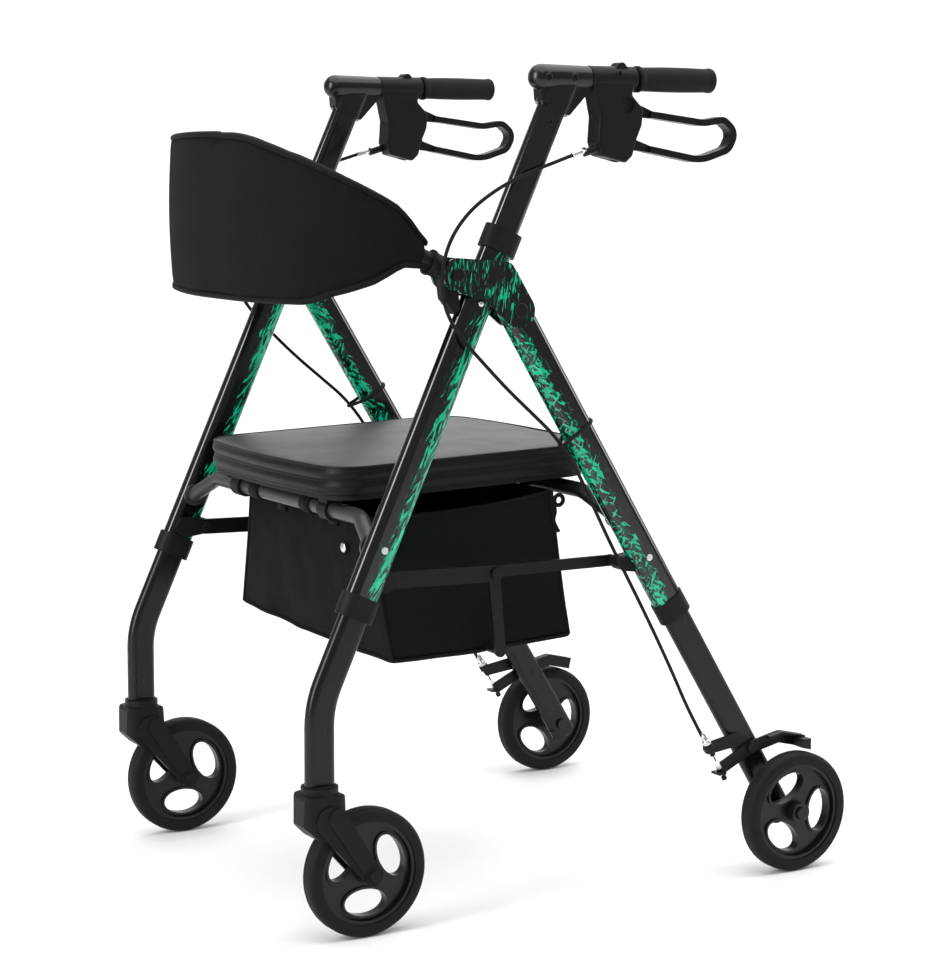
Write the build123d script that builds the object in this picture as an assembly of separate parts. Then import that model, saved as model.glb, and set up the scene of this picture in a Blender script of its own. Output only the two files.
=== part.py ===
from build123d import *
import os
from math import atan2, cos, degrees, pi, radians, sin, tan

# Four-wheeled folding walker with a seat, a bag, a backrest and loop brakes. Millimetres.
# +Z is up, -Y is the walking direction and +X is the user's left-hand side.
# Everything is laid out from the rear axle line on the floor, and moved at the end
# so that the origin lies at the bottom centre of the whole walker.

# Wheels
WHEEL_DIAMETER = 152.4
WHEEL_WIDTH = 25.0
TYRE_DEPTH = 15.0
WHEELBASE = 596.0
CASTER_TRAIL = 58.0
REAR_WHEEL_X = 293.6
AXLE_RADIUS = 4.0
HUB_RADIUS = 13.0
WINDOW_OUT = 35.5
WINDOW_DEPTH = 32.0
WINDOW_LENGTH = 55.0
REAR_HUB_WIDTH = 33.0
FORK_TOP_Z = 186.0
FORK_ARM = 8.0
FORK_NOSE = 27.0
FORK_CORNER = 17.0
FORK_GAP = WHEEL_WIDTH + 6.0
STEM_RADIUS = 5.0

# Side frames
LEG_X = 256.5
APEX_Y = -430.5
APEX_Z = 770.9
FRONT_TILT = 24.4
TUBE_DEPTH = 36.4
TUBE_THICKNESS = 18.0
TUBE_WALL = 1.8
FRONT_LEG_LENGTH = 424.0
FRONT_LEG_TOP = 33.0
REAR_LEG_END = 499.0
HINGE_DROP = 61.0
BEND_RADIUS = 120.0
TELESCOPE_OVERLAP = 120.0
COLLAR_LENGTH = 27.0
COLLAR_LIP = 11.5
COLLAR_WALL = 3.7
REAR_COLLAR_WALL = 2.0
BRACKET_PLATE = 4.5
BUTTON_RADIUS = 4.2
HANDLE_BUTTON_DROP = 46.6
BUTTON_ABOVE_END = 73.0
HOLE_PITCH = 25.4

# Handles
GRIP_Z = 987.0
GRIP_RADIUS = 15.0
GRIP_END_ROUND = 3.5
BAR_RADIUS = 11.0
KNUCKLE_AHEAD = 30.5
KNUCKLE_LENGTH = 63.0
KNUCKLE_NOSE_RADIUS = 15.6
KNUCKLE_BACK_RADIUS = 14.2
HOUSING_RUN = 69.0
GRIP_LENGTH = 110.0
HOUSING_WIDTH = 27.0
LEVER_PIVOT_AHEAD = 19.0
LEVER_PIVOT_DROP = 30.3
LEVER_ROOT_WIDTH = 11.0
LEVER_BAND_WIDTH = 17.0
LEVER_BAND_THICKNESS = 8.0

# Seat, its bows and the bag
BOW_RADIUS = 9.5
SEAT_BOW_Y = -568.0
SEAT_BOW_Z = 480.0
REAR_BOW_Y = -260.0
REAR_BOW_Z = 491.0
BOW_HALF_SPAN = 196.0
BOW_DROP = 27.0
SEAT_WIDTH = 372.0
SEAT_FRONT_Y = -606.0
SEAT_BACK_Y = -212.0
SEAT_BOARD_THICKNESS = 6.0
SEAT_PAD_THICKNESS = 38.0
SEAT_LIFT = 17.0
SEAT_TILT = 1.7
SEAT_CORNER = 46.0
CLIP_X = 120.0
LOOP_X = 70.0
BAG_WIDTH = 386.0
BAG_FRONT_Y = -538.0
BAG_BACK_Y = -284.0
BAG_FLOOR_Z = 319.0
BAG_RIM_Z = 474.0
CLOTH = 2.5

# Side braces and the bow that hangs from them
BRACE_CLIP_ABOVE_END = 28.8
BRACE_CLIP_REACH = 27.8
BRACE_MID_Y = -410.0
BRACE_MID_Z = 407.0
BRACE_REAR_Y = -236.0
BRACE_REAR_Z = 407.0
BRACE_THICKNESS = 4.0
FRONT_BRACE_WIDTH = 20.0
REAR_BRACE_WIDTH = 14.0
BRACE_SET_IN = 5.2
UNDER_BOW_Y = -400.0
UNDER_BOW_Z = 311.0
UNDER_BOW_RADIUS = 5.0

# Backrest
BACKREST_RADIUS = 11.0
BACKREST_PAD = 5.0
SOCKET_Y = -482.0
SOCKET_Z = 762.5
SOCKET_RISE = 26.0
SOCKET_REACH = 34.0
SOCKET_DEPTH = 13.0
BACKREST_FRONT_Y = -648.0
BAND_END_Y = -514.0
BAND_TOP_EDGE = [(-700, 927), (-650, 926), (-632, 907), (-613, 886), (-580, 863),
                 (-545, 838), (BAND_END_Y, 803)]
BAND_LOW_EDGE = [(BAND_END_Y, 776), (-566, 765), (-612, 745), (-633, 727), (-700, 723)]

# Rear brakes
BRAKE_PIVOT_Z = 159.0
BRAKE_PLATE = 3.0
BRAKE_FLANGE = 16.0
BRAKE_GAP = 3.4
CABLE_RADIUS = 2.5
CABLE_END_X = LEG_X + 15.0

# Fits
SLIDE_GAP = 0.3
CLEAR = 0.3
RUNNING = 0.05
PIN_RADIUS = 4.0

# Worked out from the sizes above
WHEEL_RADIUS = WHEEL_DIAMETER / 2
REAR_TILT = degrees(atan2(-APEX_Y, APEX_Z - WHEEL_RADIUS))
OUTER_DEPTH = TUBE_DEPTH + 2 * (SLIDE_GAP + TUBE_WALL)
OUTER_THICKNESS = TUBE_THICKNESS + 2 * (SLIDE_GAP + TUBE_WALL)
FRONT_BUTTON_DROP = FRONT_LEG_LENGTH - BUTTON_ABOVE_END
REAR_BUTTON_DROP = REAR_LEG_END - BUTTON_ABOVE_END - 6
HANDLE_RISE = GRIP_Z - APEX_Z
HANDLE_TOP = HANDLE_RISE / cos(radians(FRONT_TILT)) - 5.3
HANDLE_Y = APEX_Y + HANDLE_RISE * tan(radians(FRONT_TILT))
KNUCKLE_FRONT_Y = HANDLE_Y - KNUCKLE_AHEAD
KNUCKLE_BACK_Y = KNUCKLE_FRONT_Y + KNUCKLE_LENGTH
GRIP_START_Y = KNUCKLE_BACK_Y + HOUSING_RUN
GRIP_END_Y = GRIP_START_Y + GRIP_LENGTH
LEVER_PIVOT_Y = GRIP_START_Y - LEVER_PIVOT_AHEAD
LEVER_PIVOT_Z = GRIP_Z - LEVER_PIVOT_DROP
BRACE_CLIP_ALONG = FRONT_LEG_LENGTH - BRACE_CLIP_ABOVE_END
BRACE_FRONT_Y = APEX_Y - BRACE_CLIP_ALONG * sin(radians(FRONT_TILT)) + BRACE_CLIP_REACH
BRACE_FRONT_Z = APEX_Z - BRACE_CLIP_ALONG * cos(radians(FRONT_TILT))
LEG_OUT_X = LEG_X + OUTER_THICKNESS / 2
LEG_IN_X = LEG_X - OUTER_THICKNESS / 2
STEM_Y = -WHEELBASE - CASTER_TRAIL
FRONT_BRACE_X = LEG_IN_X - BRACE_SET_IN - BRACE_THICKNESS
LINK_X = FRONT_BRACE_X - CLEAR - BRACE_THICKNESS
BRACE_NUT = 3.4
REAR_BRACE_X = LINK_X - BRACE_NUT - CLEAR - BRACE_THICKNESS
FOREMOST_Y = min(BACKREST_FRONT_Y - BACKREST_RADIUS - BACKREST_PAD, STEM_Y - FORK_NOSE)
ORIGIN_Y = (FOREMOST_Y + WHEEL_RADIUS) / 2

FRONT_AXIS = Location((LEG_X, APEX_Y, APEX_Z), (-FRONT_TILT, 0, 0))
REAR_AXIS = Location((LEG_X, APEX_Y, APEX_Z), (REAR_TILT, 0, 0))
SEAT_AXIS = Location((0, SEAT_BOW_Y, SEAT_BOW_Z), (SEAT_TILT, 0, 0))
GRIP_START = Location((GRIP_START_Y, GRIP_Z, 0))
SOCKET_MOUTH = Location((LEG_X, SOCKET_Y, SOCKET_Z), (90 - SOCKET_RISE, 0, 0))


def front_point(along, behind=0.0):
    """(y, z) of a point on a front leg, measured down its axis from the apex."""
    y = APEX_Y - along * sin(radians(FRONT_TILT)) + behind * cos(radians(FRONT_TILT))
    z = APEX_Z - along * cos(radians(FRONT_TILT)) - behind * sin(radians(FRONT_TILT))
    return y, z


def rear_point(along, behind=0.0):
    """(y, z) of a point on a rear leg, measured down its axis from the apex."""
    y = APEX_Y + along * sin(radians(REAR_TILT)) + behind * cos(radians(REAR_TILT))
    z = APEX_Z - along * cos(radians(REAR_TILT)) + behind * sin(radians(REAR_TILT))
    return y, z


def oval(depth, thickness, low, high):
    """Flat-oval bar along local Z, its long way along local Y."""
    return Pos(0, 0, low) * extrude(SlotOverall(depth, thickness, rotation=90), high - low)


def rod_x(radius, x_low, x_high, y, z):
    """Round bar along X."""
    return Pos((x_low + x_high) / 2, y, z) * Rot(0, 90, 0) * Cylinder(radius, x_high - x_low)


def rod_y(radius, y_low, y_high, x, z):
    """Round bar along Y."""
    return Pos(x, (y_low + y_high) / 2, z) * Rot(90, 0, 0) * Cylinder(radius, y_high - y_low)


def slab(sketch, x_low, x_high):
    """A side-view sketch, drawn in (y, z), given a thickness across X."""
    return extrude(Plane.YZ.offset(x_low) * sketch, x_high - x_low, dir=(1, 0, 0))


def button_holes(point, drop):
    """Row of holes in the outer wall of an inner tube, one for each height."""
    holes = []
    for step in (-1, 0, 1, 2):
        holes.append(rod_x(BUTTON_RADIUS + CLEAR, LEG_X, LEG_OUT_X, *point(drop + step * HOLE_PITCH)))
    return holes


def hull_of(discs):
    """Side-view outline drawn tight around discs given as (y, z, radius)."""
    edges = []
    for y, z, radius in discs:
        edges += (Pos(y, z) * Circle(radius)).edges()
    return make_hull(edges)


def rounded(points, radius):
    """Side-view polygon with every corner rounded."""
    outline = Polygon(*points, align=None)
    return fillet(outline.vertices(), radius)


def screw(x_face, y, z, head_radius=4.5, head=2.0, shank_radius=2.5, shank=9.0):
    """Pan-head screw driven inwards along -X into a face at x_face."""
    cap = rod_x(head_radius, x_face, x_face + head, y, z)
    cap = fillet(cap.edges().sort_by(Axis.X)[-1:], head * 0.6)
    socket = rod_x(head_radius * 0.45, x_face + head / 2, x_face + head, y, z)
    return cap - socket + rod_x(shank_radius, x_face - shank, x_face, y, z)


def through_bolt(x_low, x_high, y, z, radius, head_radius, head=3.0):
    """Bolt along X with a low round head on both ends."""
    bolt = rod_x(radius, x_low, x_high, y, z)
    outer = rod_x(head_radius, x_high, x_high + head, y, z)
    inner = rod_x(head_radius, x_low - head, x_low, y, z)
    bolt += fillet(outer.edges().sort_by(Axis.X)[-1:], head * 0.5)
    return bolt + fillet(inner.edges().sort_by(Axis.X)[:1], head * 0.5)


def bent_tube(points, radii, radius, bore=0.0):
    """Round tube along straight runs joined by tangent arcs."""
    path = FilletPolyline(*points, radius=radii)
    start = Plane(origin=path @ 0, z_dir=path % 0)
    tube = sweep(start * Circle(radius), path=path)
    if bore:
        tube -= sweep(start * Circle(bore), path=path)
    return tube


# Front frame

def front_leg():
    """Flat-oval tube from the lower collar up through the bracket."""
    leg = oval(OUTER_DEPTH, OUTER_THICKNESS, -FRONT_LEG_LENGTH, FRONT_LEG_TOP)
    leg -= oval(TUBE_DEPTH + 2 * SLIDE_GAP, TUBE_THICKNESS + 2 * SLIDE_GAP,
                -FRONT_LEG_LENGTH, FRONT_LEG_TOP)
    leg = FRONT_AXIS * leg
    leg -= rod_x(BUTTON_RADIUS, LEG_X, LEG_OUT_X + 1, *front_point(HANDLE_BUTTON_DROP))
    y, z = front_point(FRONT_BUTTON_DROP)
    return leg - rod_x(BUTTON_RADIUS + RUNNING, LEG_X, LEG_OUT_X + 1, y, z)


def collar(axis, leg_end, up, wall):
    """Plastic ferrule over the end of an outer tube, close around the inner one.

    It reaches COLLAR_LIP past the end of the outer tube, along local Z if up is 1.
    """
    low = leg_end - (COLLAR_LENGTH - COLLAR_LIP) if up > 0 else leg_end - COLLAR_LIP
    high = low + COLLAR_LENGTH
    body = oval(OUTER_DEPTH + 2 * wall, OUTER_THICKNESS + 2 * wall, low, high)
    body -= oval(TUBE_DEPTH + 2 * SLIDE_GAP, TUBE_THICKNESS + 2 * SLIDE_GAP, low, high)
    seat_low, seat_high = (low, leg_end) if up > 0 else (leg_end, high)
    body -= oval(OUTER_DEPTH, OUTER_THICKNESS, seat_low, seat_high)
    return axis * body


def bracket():
    """Two cheeks that clasp the front leg and hold the rear leg's hinge."""
    hinge = rear_point(HINGE_DROP)
    crown = front_point(3, 14)
    throat = front_point(30, 6)
    outline = hull_of([(SOCKET_Y, SOCKET_Z, 19), (*crown, 14), (*throat, 12)])
    outline += hull_of([(*crown, 14), (*hinge, 20), (*throat, 12)])
    cheeks = slab(outline, LEG_OUT_X, LEG_OUT_X + BRACKET_PLATE)
    cheeks += slab(outline, LEG_IN_X - BRACKET_PLATE, LEG_IN_X)
    bridge_y, bridge_z = front_point(0, OUTER_DEPTH / 2 + 7)
    bridge = slab(Pos(bridge_y, bridge_z) * Circle(7), LEG_IN_X, LEG_OUT_X)
    for y, z in ((SOCKET_Y, SOCKET_Z), hinge):
        cheeks -= rod_x(PIN_RADIUS, LEG_IN_X - 9, LEG_OUT_X + 9, y, z)
    button_y, button_z = front_point(HANDLE_BUTTON_DROP)
    cheeks -= rod_x(BUTTON_RADIUS + CLEAR, LEG_X, LEG_OUT_X + 9, button_y, button_z)
    return cheeks + bridge - FRONT_AXIS * oval(OUTER_DEPTH, OUTER_THICKNESS, -90, 60)


def bracket_bolts():
    """Socket bolt, hinge bolt and handle button of one side."""
    low = LEG_IN_X - BRACKET_PLATE
    high = LEG_OUT_X + BRACKET_PLATE
    bolts = through_bolt(low, high, SOCKET_Y, SOCKET_Z, PIN_RADIUS, 8)
    hinge = through_bolt(low, high, *rear_point(HINGE_DROP), PIN_RADIUS, 9)
    return [bolts, hinge, snap_button(*front_point(HANDLE_BUTTON_DROP))]


def seat_bow(bow_y, bow_z, leg_point, lean):
    """Round cross tube whose ends bend down and out to the legs' inner faces."""
    end_z = bow_z - BOW_DROP
    end_y = bow_y - lean * BOW_DROP
    half = LEG_IN_X
    points = [(half, end_y, end_z), (BOW_HALF_SPAN, bow_y, bow_z),
              (-BOW_HALF_SPAN, bow_y, bow_z), (-half, end_y, end_z)]
    bow = bent_tube(points, [30, 30], BOW_RADIUS, BOW_RADIUS - TUBE_WALL)
    limit = Pos(0, bow_y, bow_z) * Box(2 * half, 200, 200)
    foot = slab(hull_of([(end_y, end_z, 14), (*leg_point, 12)]), half - 4, half)
    for side in (foot, mirror(foot, Plane.YZ)):
        bow += side
    return bow & limit


def backrest_socket():
    """Moulded socket bolted between the bracket's cheeks, with a web down the leg."""
    rise = radians(SOCKET_RISE)
    tip = (SOCKET_Y - 25 * cos(rise), SOCKET_Z + 25 * sin(rise))
    body = slab(hull_of([(SOCKET_Y, SOCKET_Z, 15), (*tip, 8)]), LEG_IN_X + CLEAR, LEG_OUT_X - CLEAR)
    mouth = SOCKET_MOUTH
    barrel_radius = BACKREST_RADIUS + 3
    body += mouth * Pos(0, 0, 26.5) * Cylinder(barrel_radius, 13)
    body += mouth * Pos(0, 0, SOCKET_REACH - 1.5) * Cylinder(barrel_radius + 1.5, 3)
    web = Polygon((SOCKET_Y - 18, SOCKET_Z), (SOCKET_Y + 4, SOCKET_Z - 8),
                  front_point(62, -OUTER_DEPTH / 2), front_point(70, -OUTER_DEPTH / 2 - 3),
                  (SOCKET_Y - 14, SOCKET_Z - 28), align=None)
    body += slab(web, LEG_X - 7, LEG_X + 7)
    body -= mouth * Pos(0, 0, SOCKET_DEPTH + 30) * Cylinder(BACKREST_RADIUS + RUNNING, 60)
    body -= rod_x(PIN_RADIUS, LEG_IN_X, LEG_OUT_X, SOCKET_Y, SOCKET_Z)
    return body - FRONT_AXIS * oval(OUTER_DEPTH + CLEAR, OUTER_THICKNESS + CLEAR, -120, 60)


def brace_clip(axis, leg_point, pivot, inner_x, bar_x, boss_radius):
    """Plastic saddle on a leg's inner edge, with the headed pin that carries a brace."""
    outline = hull_of([(*leg_point, 13), (*pivot, boss_radius)])
    clip = slab(outline, inner_x, LEG_X + 3)
    clip -= axis * oval(OUTER_DEPTH, OUTER_THICKNESS, -560, 60)
    clip += rod_x(PIN_RADIUS, bar_x - CLEAR, inner_x, *pivot)
    boss_face = bar_x + BRACE_THICKNESS + CLEAR
    if inner_x - boss_face > CLEAR:
        clip += rod_x(PIN_RADIUS + 3, boss_face, inner_x, *pivot)
    return clip + rod_x(PIN_RADIUS + 3, bar_x - CLEAR - 2.5, bar_x - CLEAR, *pivot)


# Handles

def handle_tube():
    """Inner telescoping tube that carries the handle."""
    tube = oval(TUBE_DEPTH, TUBE_THICKNESS, -TELESCOPE_OVERLAP, HANDLE_TOP)
    tube -= oval(TUBE_DEPTH - 2 * TUBE_WALL, TUBE_THICKNESS - 2 * TUBE_WALL,
                 -TELESCOPE_OVERLAP, HANDLE_TOP)
    return FRONT_AXIS * tube


def knuckle(tube):
    """Moulded elbow that turns the handle tube into the level bar."""
    sleeve = FRONT_AXIS * oval(TUBE_DEPTH + 7, TUBE_THICKNESS + 7, HANDLE_TOP - 35, HANDLE_TOP + 4)
    head = Pos(LEG_X, (KNUCKLE_FRONT_Y + KNUCKLE_BACK_Y) / 2, GRIP_Z) * Rot(90, 0, 0) * Cone(
        KNUCKLE_BACK_RADIUS, KNUCKLE_NOSE_RADIUS, KNUCKLE_LENGTH)
    nose = Pos(LEG_X, KNUCKLE_FRONT_Y, GRIP_Z) * Sphere(KNUCKLE_NOSE_RADIUS)
    web = Polygon((KNUCKLE_FRONT_Y - 6, GRIP_Z), (KNUCKLE_BACK_Y, GRIP_Z),
                  (KNUCKLE_BACK_Y, GRIP_Z - 14), front_point(33 - HANDLE_TOP, TUBE_DEPTH / 2 + 3),
                  front_point(33 - HANDLE_TOP, -TUBE_DEPTH / 2 - 2), align=None)
    body = sleeve + head + nose + slab(web, LEG_X - 9, LEG_X + 9)
    body += rod_y(BAR_RADIUS, KNUCKLE_BACK_Y, GRIP_END_Y - 4, LEG_X, GRIP_Z)
    solid_tube = FRONT_AXIS * oval(TUBE_DEPTH, TUBE_THICKNESS, -TELESCOPE_OVERLAP, HANDLE_TOP)
    return body - solid_tube


def handle_screws():
    """Two knuckle screws, the tube screw, the clamp screw and the lever pin."""
    side = LEG_X + KNUCKLE_BACK_RADIUS + 0.6
    tube_y, tube_z = front_point(50.5 - HANDLE_TOP)
    screws = [screw(side, KNUCKLE_FRONT_Y + 1, GRIP_Z),
              screw(side - 0.8, KNUCKLE_FRONT_Y + 37, GRIP_Z),
              screw(LEG_X + TUBE_THICKNESS / 2, tube_y, tube_z, 3.5, 1.5, 2, 6),
              screw(LEG_X + HOUSING_WIDTH / 2, KNUCKLE_BACK_Y + 37, GRIP_Z + 5.5, 4, 1.5, 2, 7)]
    pin_low = LEG_X - HOUSING_WIDTH / 2
    pin = rod_x(3, pin_low, LEG_X + HOUSING_WIDTH / 2 - 2, LEVER_PIVOT_Y, LEVER_PIVOT_Z)
    return screws + [pin]


def brake_housing():
    """Clamp around the bar with the body that holds the lever's pivot."""
    front, back = KNUCKLE_BACK_Y + 1, GRIP_START_Y - 5
    outline = GRIP_START * rounded([(-68, 0), (-64, -19), (-58, -45), (-60, -74), (-54, -90),
                                    (-20, -98), (-11, -90), (-5, -70), (2, -54), (4, -35),
                                    (-12, -19), (-9, 0)], 4)
    body = slab(outline, LEG_X - HOUSING_WIDTH / 2, LEG_X + HOUSING_WIDTH / 2)
    body = fillet(body.edges().filter_by(Plane.YZ), 3)
    body += rod_y(BAR_RADIUS + 3.7, front, back, LEG_X, GRIP_Z)
    lug = hull_of([(GRIP_START_Y - 25, GRIP_Z + 13, 6), (GRIP_START_Y - 25, GRIP_Z, 14)])
    body += slab(lug, LEG_X - 7, LEG_X + 9)
    body -= rod_y(BAR_RADIUS, front - 1, back + 1, LEG_X, GRIP_Z)
    slot = LEVER_ROOT_WIDTH / 2 + CLEAR
    body -= Pos(LEG_X, GRIP_START_Y + 15, GRIP_Z - 63) * Box(2 * slot, 102, 90)
    body -= rod_x(9, LEG_X + HOUSING_WIDTH / 2 - 2, LEG_X + HOUSING_WIDTH / 2 + 1,
                  LEVER_PIVOT_Y, LEVER_PIVOT_Z)
    ferrule_z = GRIP_Z - 81.5
    ferrule = Location((LEG_X + 7, front + 7, ferrule_z - 0.8), (106, 0, 0)) * Cylinder(4.5, 32)
    body += ferrule & Pos(LEG_X, front - 16, ferrule_z) * Box(40, 56, 40)
    return body


def brake_lever():
    """Flat-band loop lever, its two roots joined inside the housing."""
    band = FilletPolyline((17, -41), (96, -50.5), (125, -46), (144, -61), (133, -82),
                          (92, -95), (17, -82), radius=[40, 13, 14, 16, 60])
    loop = GRIP_START * trace(Plane.XY * band, LEVER_BAND_THICKNESS)
    lever = slab(loop, LEG_X - LEVER_BAND_WIDTH / 2, LEG_X + LEVER_BAND_WIDTH / 2)
    root = hull_of([(-LEVER_PIVOT_AHEAD, -LEVER_PIVOT_DROP, 10), (-5, -77, 5)])
    root += Polygon((-5, -27), (22, -37.5), (22, -45.5), (-5, -45), align=None)
    root += Polygon((-5, -70), (22, -79), (22, -86.5), (-5, -83), align=None)
    lever += slab(GRIP_START * root, LEG_X - LEVER_ROOT_WIDTH / 2, LEG_X + LEVER_ROOT_WIDTH / 2)
    return lever - rod_x(3 + RUNNING, LEG_X - 12, LEG_X + 12, LEVER_PIVOT_Y, LEVER_PIVOT_Z)


def grip():
    """Soft hand grip with a closed end and a flange towards the brake housing."""
    sleeve = rod_y(GRIP_RADIUS, GRIP_START_Y, GRIP_END_Y, LEG_X, GRIP_Z)
    sleeve = fillet(sleeve.edges().sort_by(Axis.Y)[-1:], GRIP_END_ROUND)
    sleeve += rod_y(GRIP_RADIUS + 0.8, GRIP_START_Y, GRIP_START_Y + 4, LEG_X, GRIP_Z)
    return sleeve - rod_y(BAR_RADIUS, GRIP_START_Y - 1, GRIP_END_Y - 4, LEG_X, GRIP_Z)


# Front lower legs, casters and wheels

def front_lower_leg():
    """Inner tube that bends upright above the caster, with a plug for its stem."""
    bend_along = (APEX_Y - STEM_Y) / sin(radians(FRONT_TILT))
    top_along = FRONT_LEG_LENGTH - TELESCOPE_OVERLAP
    top_y, top_z = front_point(top_along)
    path = FilletPolyline((LEG_X, top_y, top_z), (LEG_X, STEM_Y, front_point(bend_along)[1]),
                          (LEG_X, STEM_Y, FORK_TOP_Z + CLEAR), radius=BEND_RADIUS)
    start = Plane(origin=path @ 0, x_dir=(1, 0, 0), z_dir=path % 0)
    outside = sweep(start * SlotOverall(TUBE_DEPTH, TUBE_THICKNESS, rotation=90), path=path)
    inside = sweep(start * SlotOverall(TUBE_DEPTH - 2 * TUBE_WALL, TUBE_THICKNESS - 2 * TUBE_WALL,
                                       rotation=90), path=path)
    tube = outside - inside - button_holes(front_point, FRONT_BUTTON_DROP)
    plug_length = 30.0
    plug = Pos(LEG_X, STEM_Y, FORK_TOP_Z + CLEAR) * oval(
        TUBE_DEPTH - 2 * TUBE_WALL, TUBE_THICKNESS - 2 * TUBE_WALL, 0, plug_length)
    plug -= Pos(LEG_X, STEM_Y, FORK_TOP_Z + CLEAR + plug_length / 2) * Cylinder(
        STEM_RADIUS + RUNNING, plug_length)
    return [tube, plug]


def caster_fork():
    """Trailing fork with its swivel stem and the wheel's axle bolt."""
    axle = (-WHEELBASE, WHEEL_RADIUS)
    outer = FORK_GAP / 2 + FORK_ARM
    crown = slab(rounded([(STEM_Y + 1 - FORK_NOSE, FORK_TOP_Z - 9), (STEM_Y + 24, FORK_TOP_Z - 9),
                          (STEM_Y + 28, 146), (STEM_Y + 12, 122), (STEM_Y - 8, 124),
                          (STEM_Y - FORK_NOSE, 142)], 5), LEG_X - outer + 2, LEG_X + outer - 2)
    plan = Pos(LEG_X, STEM_Y) * RectangleRounded(2 * outer - 4, 2 * FORK_NOSE + 4, FORK_CORNER)
    crown &= extrude(plan, FORK_TOP_Z)
    arm = slab(hull_of([(*axle, 12), (STEM_Y + 3, 147, 18)]), LEG_X - outer, LEG_X + outer)
    rib = slab(hull_of([(*axle, 9), (STEM_Y + 12, 150, 12)]), LEG_X - outer - 1.4, LEG_X + outer + 1.4)
    boss = rod_x(11, LEG_X - outer - 2, LEG_X + outer + 2, *axle)
    ring = Pos(LEG_X, STEM_Y, FORK_TOP_Z - 5) * Cylinder(21.5, 8)
    ring += Pos(LEG_X, STEM_Y, FORK_TOP_Z - 0.5) * Cylinder(19, 1)
    fork = crown + arm + rib + boss + ring
    well = rod_x(WHEEL_RADIUS + 4, LEG_X - FORK_GAP / 2, LEG_X + FORK_GAP / 2, *axle)
    tail_y = -WHEELBASE + 10
    well += Pos(LEG_X, tail_y, WHEEL_RADIUS) * Box(FORK_GAP, 60, 60)
    fork -= well
    stem = Pos(LEG_X, STEM_Y, FORK_TOP_Z) * Cylinder(STEM_RADIUS, 56)
    fork -= Pos(LEG_X, STEM_Y, FORK_TOP_Z) * Cylinder(STEM_RADIUS, 56)
    fork -= rod_x(AXLE_RADIUS, LEG_X - 40, LEG_X + 40, *axle)
    bolt = through_bolt(LEG_X - outer - 2, LEG_X + outer + 2, *axle, AXLE_RADIUS, 7, 2.5)
    return [fork, stem, bolt]


def wheel(x, hub_width, phase):
    """Wheel centre with three oval windows, turned about X."""
    rim_radius = WHEEL_RADIUS - TYRE_DEPTH
    hub = rod_x(HUB_RADIUS, x - hub_width / 2, x + hub_width / 2, 0, 0)
    web = rod_x(rim_radius, x - 4, x + 4, 0, 0)
    rim = rod_x(rim_radius, x - 10.5, x + 10.5, 0, 0)
    rim -= rod_x(rim_radius - 4.5, x - 10.5, x + 10.5, 0, 0)
    centre = hub + web + rim
    window = Ellipse(WINDOW_DEPTH / 2, WINDOW_LENGTH / 2)
    lip = Ellipse(WINDOW_DEPTH / 2 + 3, WINDOW_LENGTH / 2 + 3)
    for turn in (phase, phase + 120, phase + 240):
        centre += slab(Rot(0, 0, turn) * Pos(WINDOW_OUT, 0) * lip, x - 6.5, x + 6.5)
    for turn in (phase, phase + 120, phase + 240):
        centre -= slab(Rot(0, 0, turn) * Pos(WINDOW_OUT, 0) * window, x - 12, x + 12)
    centre &= rod_x(rim_radius, x - 30, x + 30, 0, 0)
    return centre - rod_x(AXLE_RADIUS + RUNNING, x - 30, x + 30, 0, 0)


def tyre(x):
    """Solid tyre with rounded shoulders."""
    half = WHEEL_WIDTH / 2
    ring = rod_x(WHEEL_RADIUS, x - half, x + half, 0, 0)
    ring = fillet(ring.edges().filter_by(GeomType.CIRCLE), 7.5)
    return ring - rod_x(WHEEL_RADIUS - TYRE_DEPTH, x - half, x + half, 0, 0)


# Rear frame

def rear_leg():
    """Flat-oval tube with a round top that turns about the hinge bolt."""
    leg = oval(OUTER_DEPTH, OUTER_THICKNESS, -REAR_LEG_END, -HINGE_DROP)
    top = Pos(0, 0, -HINGE_DROP) * Rot(0, 90, 0) * Cylinder(OUTER_DEPTH / 2, OUTER_THICKNESS)
    stub = oval(OUTER_DEPTH, OUTER_THICKNESS, -HINGE_DROP, -HINGE_DROP + OUTER_DEPTH / 2)
    leg += top & stub
    leg -= oval(TUBE_DEPTH + 2 * SLIDE_GAP, TUBE_THICKNESS + 2 * SLIDE_GAP,
                -REAR_LEG_END, -HINGE_DROP + OUTER_DEPTH / 2)
    leg = REAR_AXIS * leg
    leg -= rod_x(PIN_RADIUS + RUNNING, LEG_IN_X - 1, LEG_OUT_X + 1, *rear_point(HINGE_DROP))
    y, z = rear_point(REAR_BUTTON_DROP)
    return leg - rod_x(BUTTON_RADIUS + RUNNING, LEG_X, LEG_OUT_X + 1, y, z)


def rear_lower_leg():
    """Straight inner tube down to the axle, closed by a rounded end."""
    top = REAR_LEG_END - TELESCOPE_OVERLAP
    axle_along = (APEX_Z - WHEEL_RADIUS) / cos(radians(REAR_TILT))
    leg = oval(TUBE_DEPTH, TUBE_THICKNESS, -axle_along - 20, -top)
    leg -= oval(TUBE_DEPTH - 2 * TUBE_WALL, TUBE_THICKNESS - 2 * TUBE_WALL,
                -axle_along - 18, -top)
    end = Pos(0, 0, -axle_along) * Box(60, TUBE_DEPTH - 10, 60)
    end += Pos(0, 0, -axle_along + 200) * Box(60, 60, 400)
    for side in (-1, 1):
        end += Pos(0, side * (TUBE_DEPTH / 2 - 8), -axle_along - 10) * Rot(0, 90, 0) * Cylinder(10, 60)
    leg = REAR_AXIS * (leg & end)
    leg -= rod_x(AXLE_RADIUS, LEG_X - 20, LEG_X + 20, 0, WHEEL_RADIUS)
    leg -= rod_x(PIN_RADIUS - 1, LEG_X - 20, LEG_X + 20, *brake_pivot())
    return leg - button_holes(rear_point, REAR_BUTTON_DROP)


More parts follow.
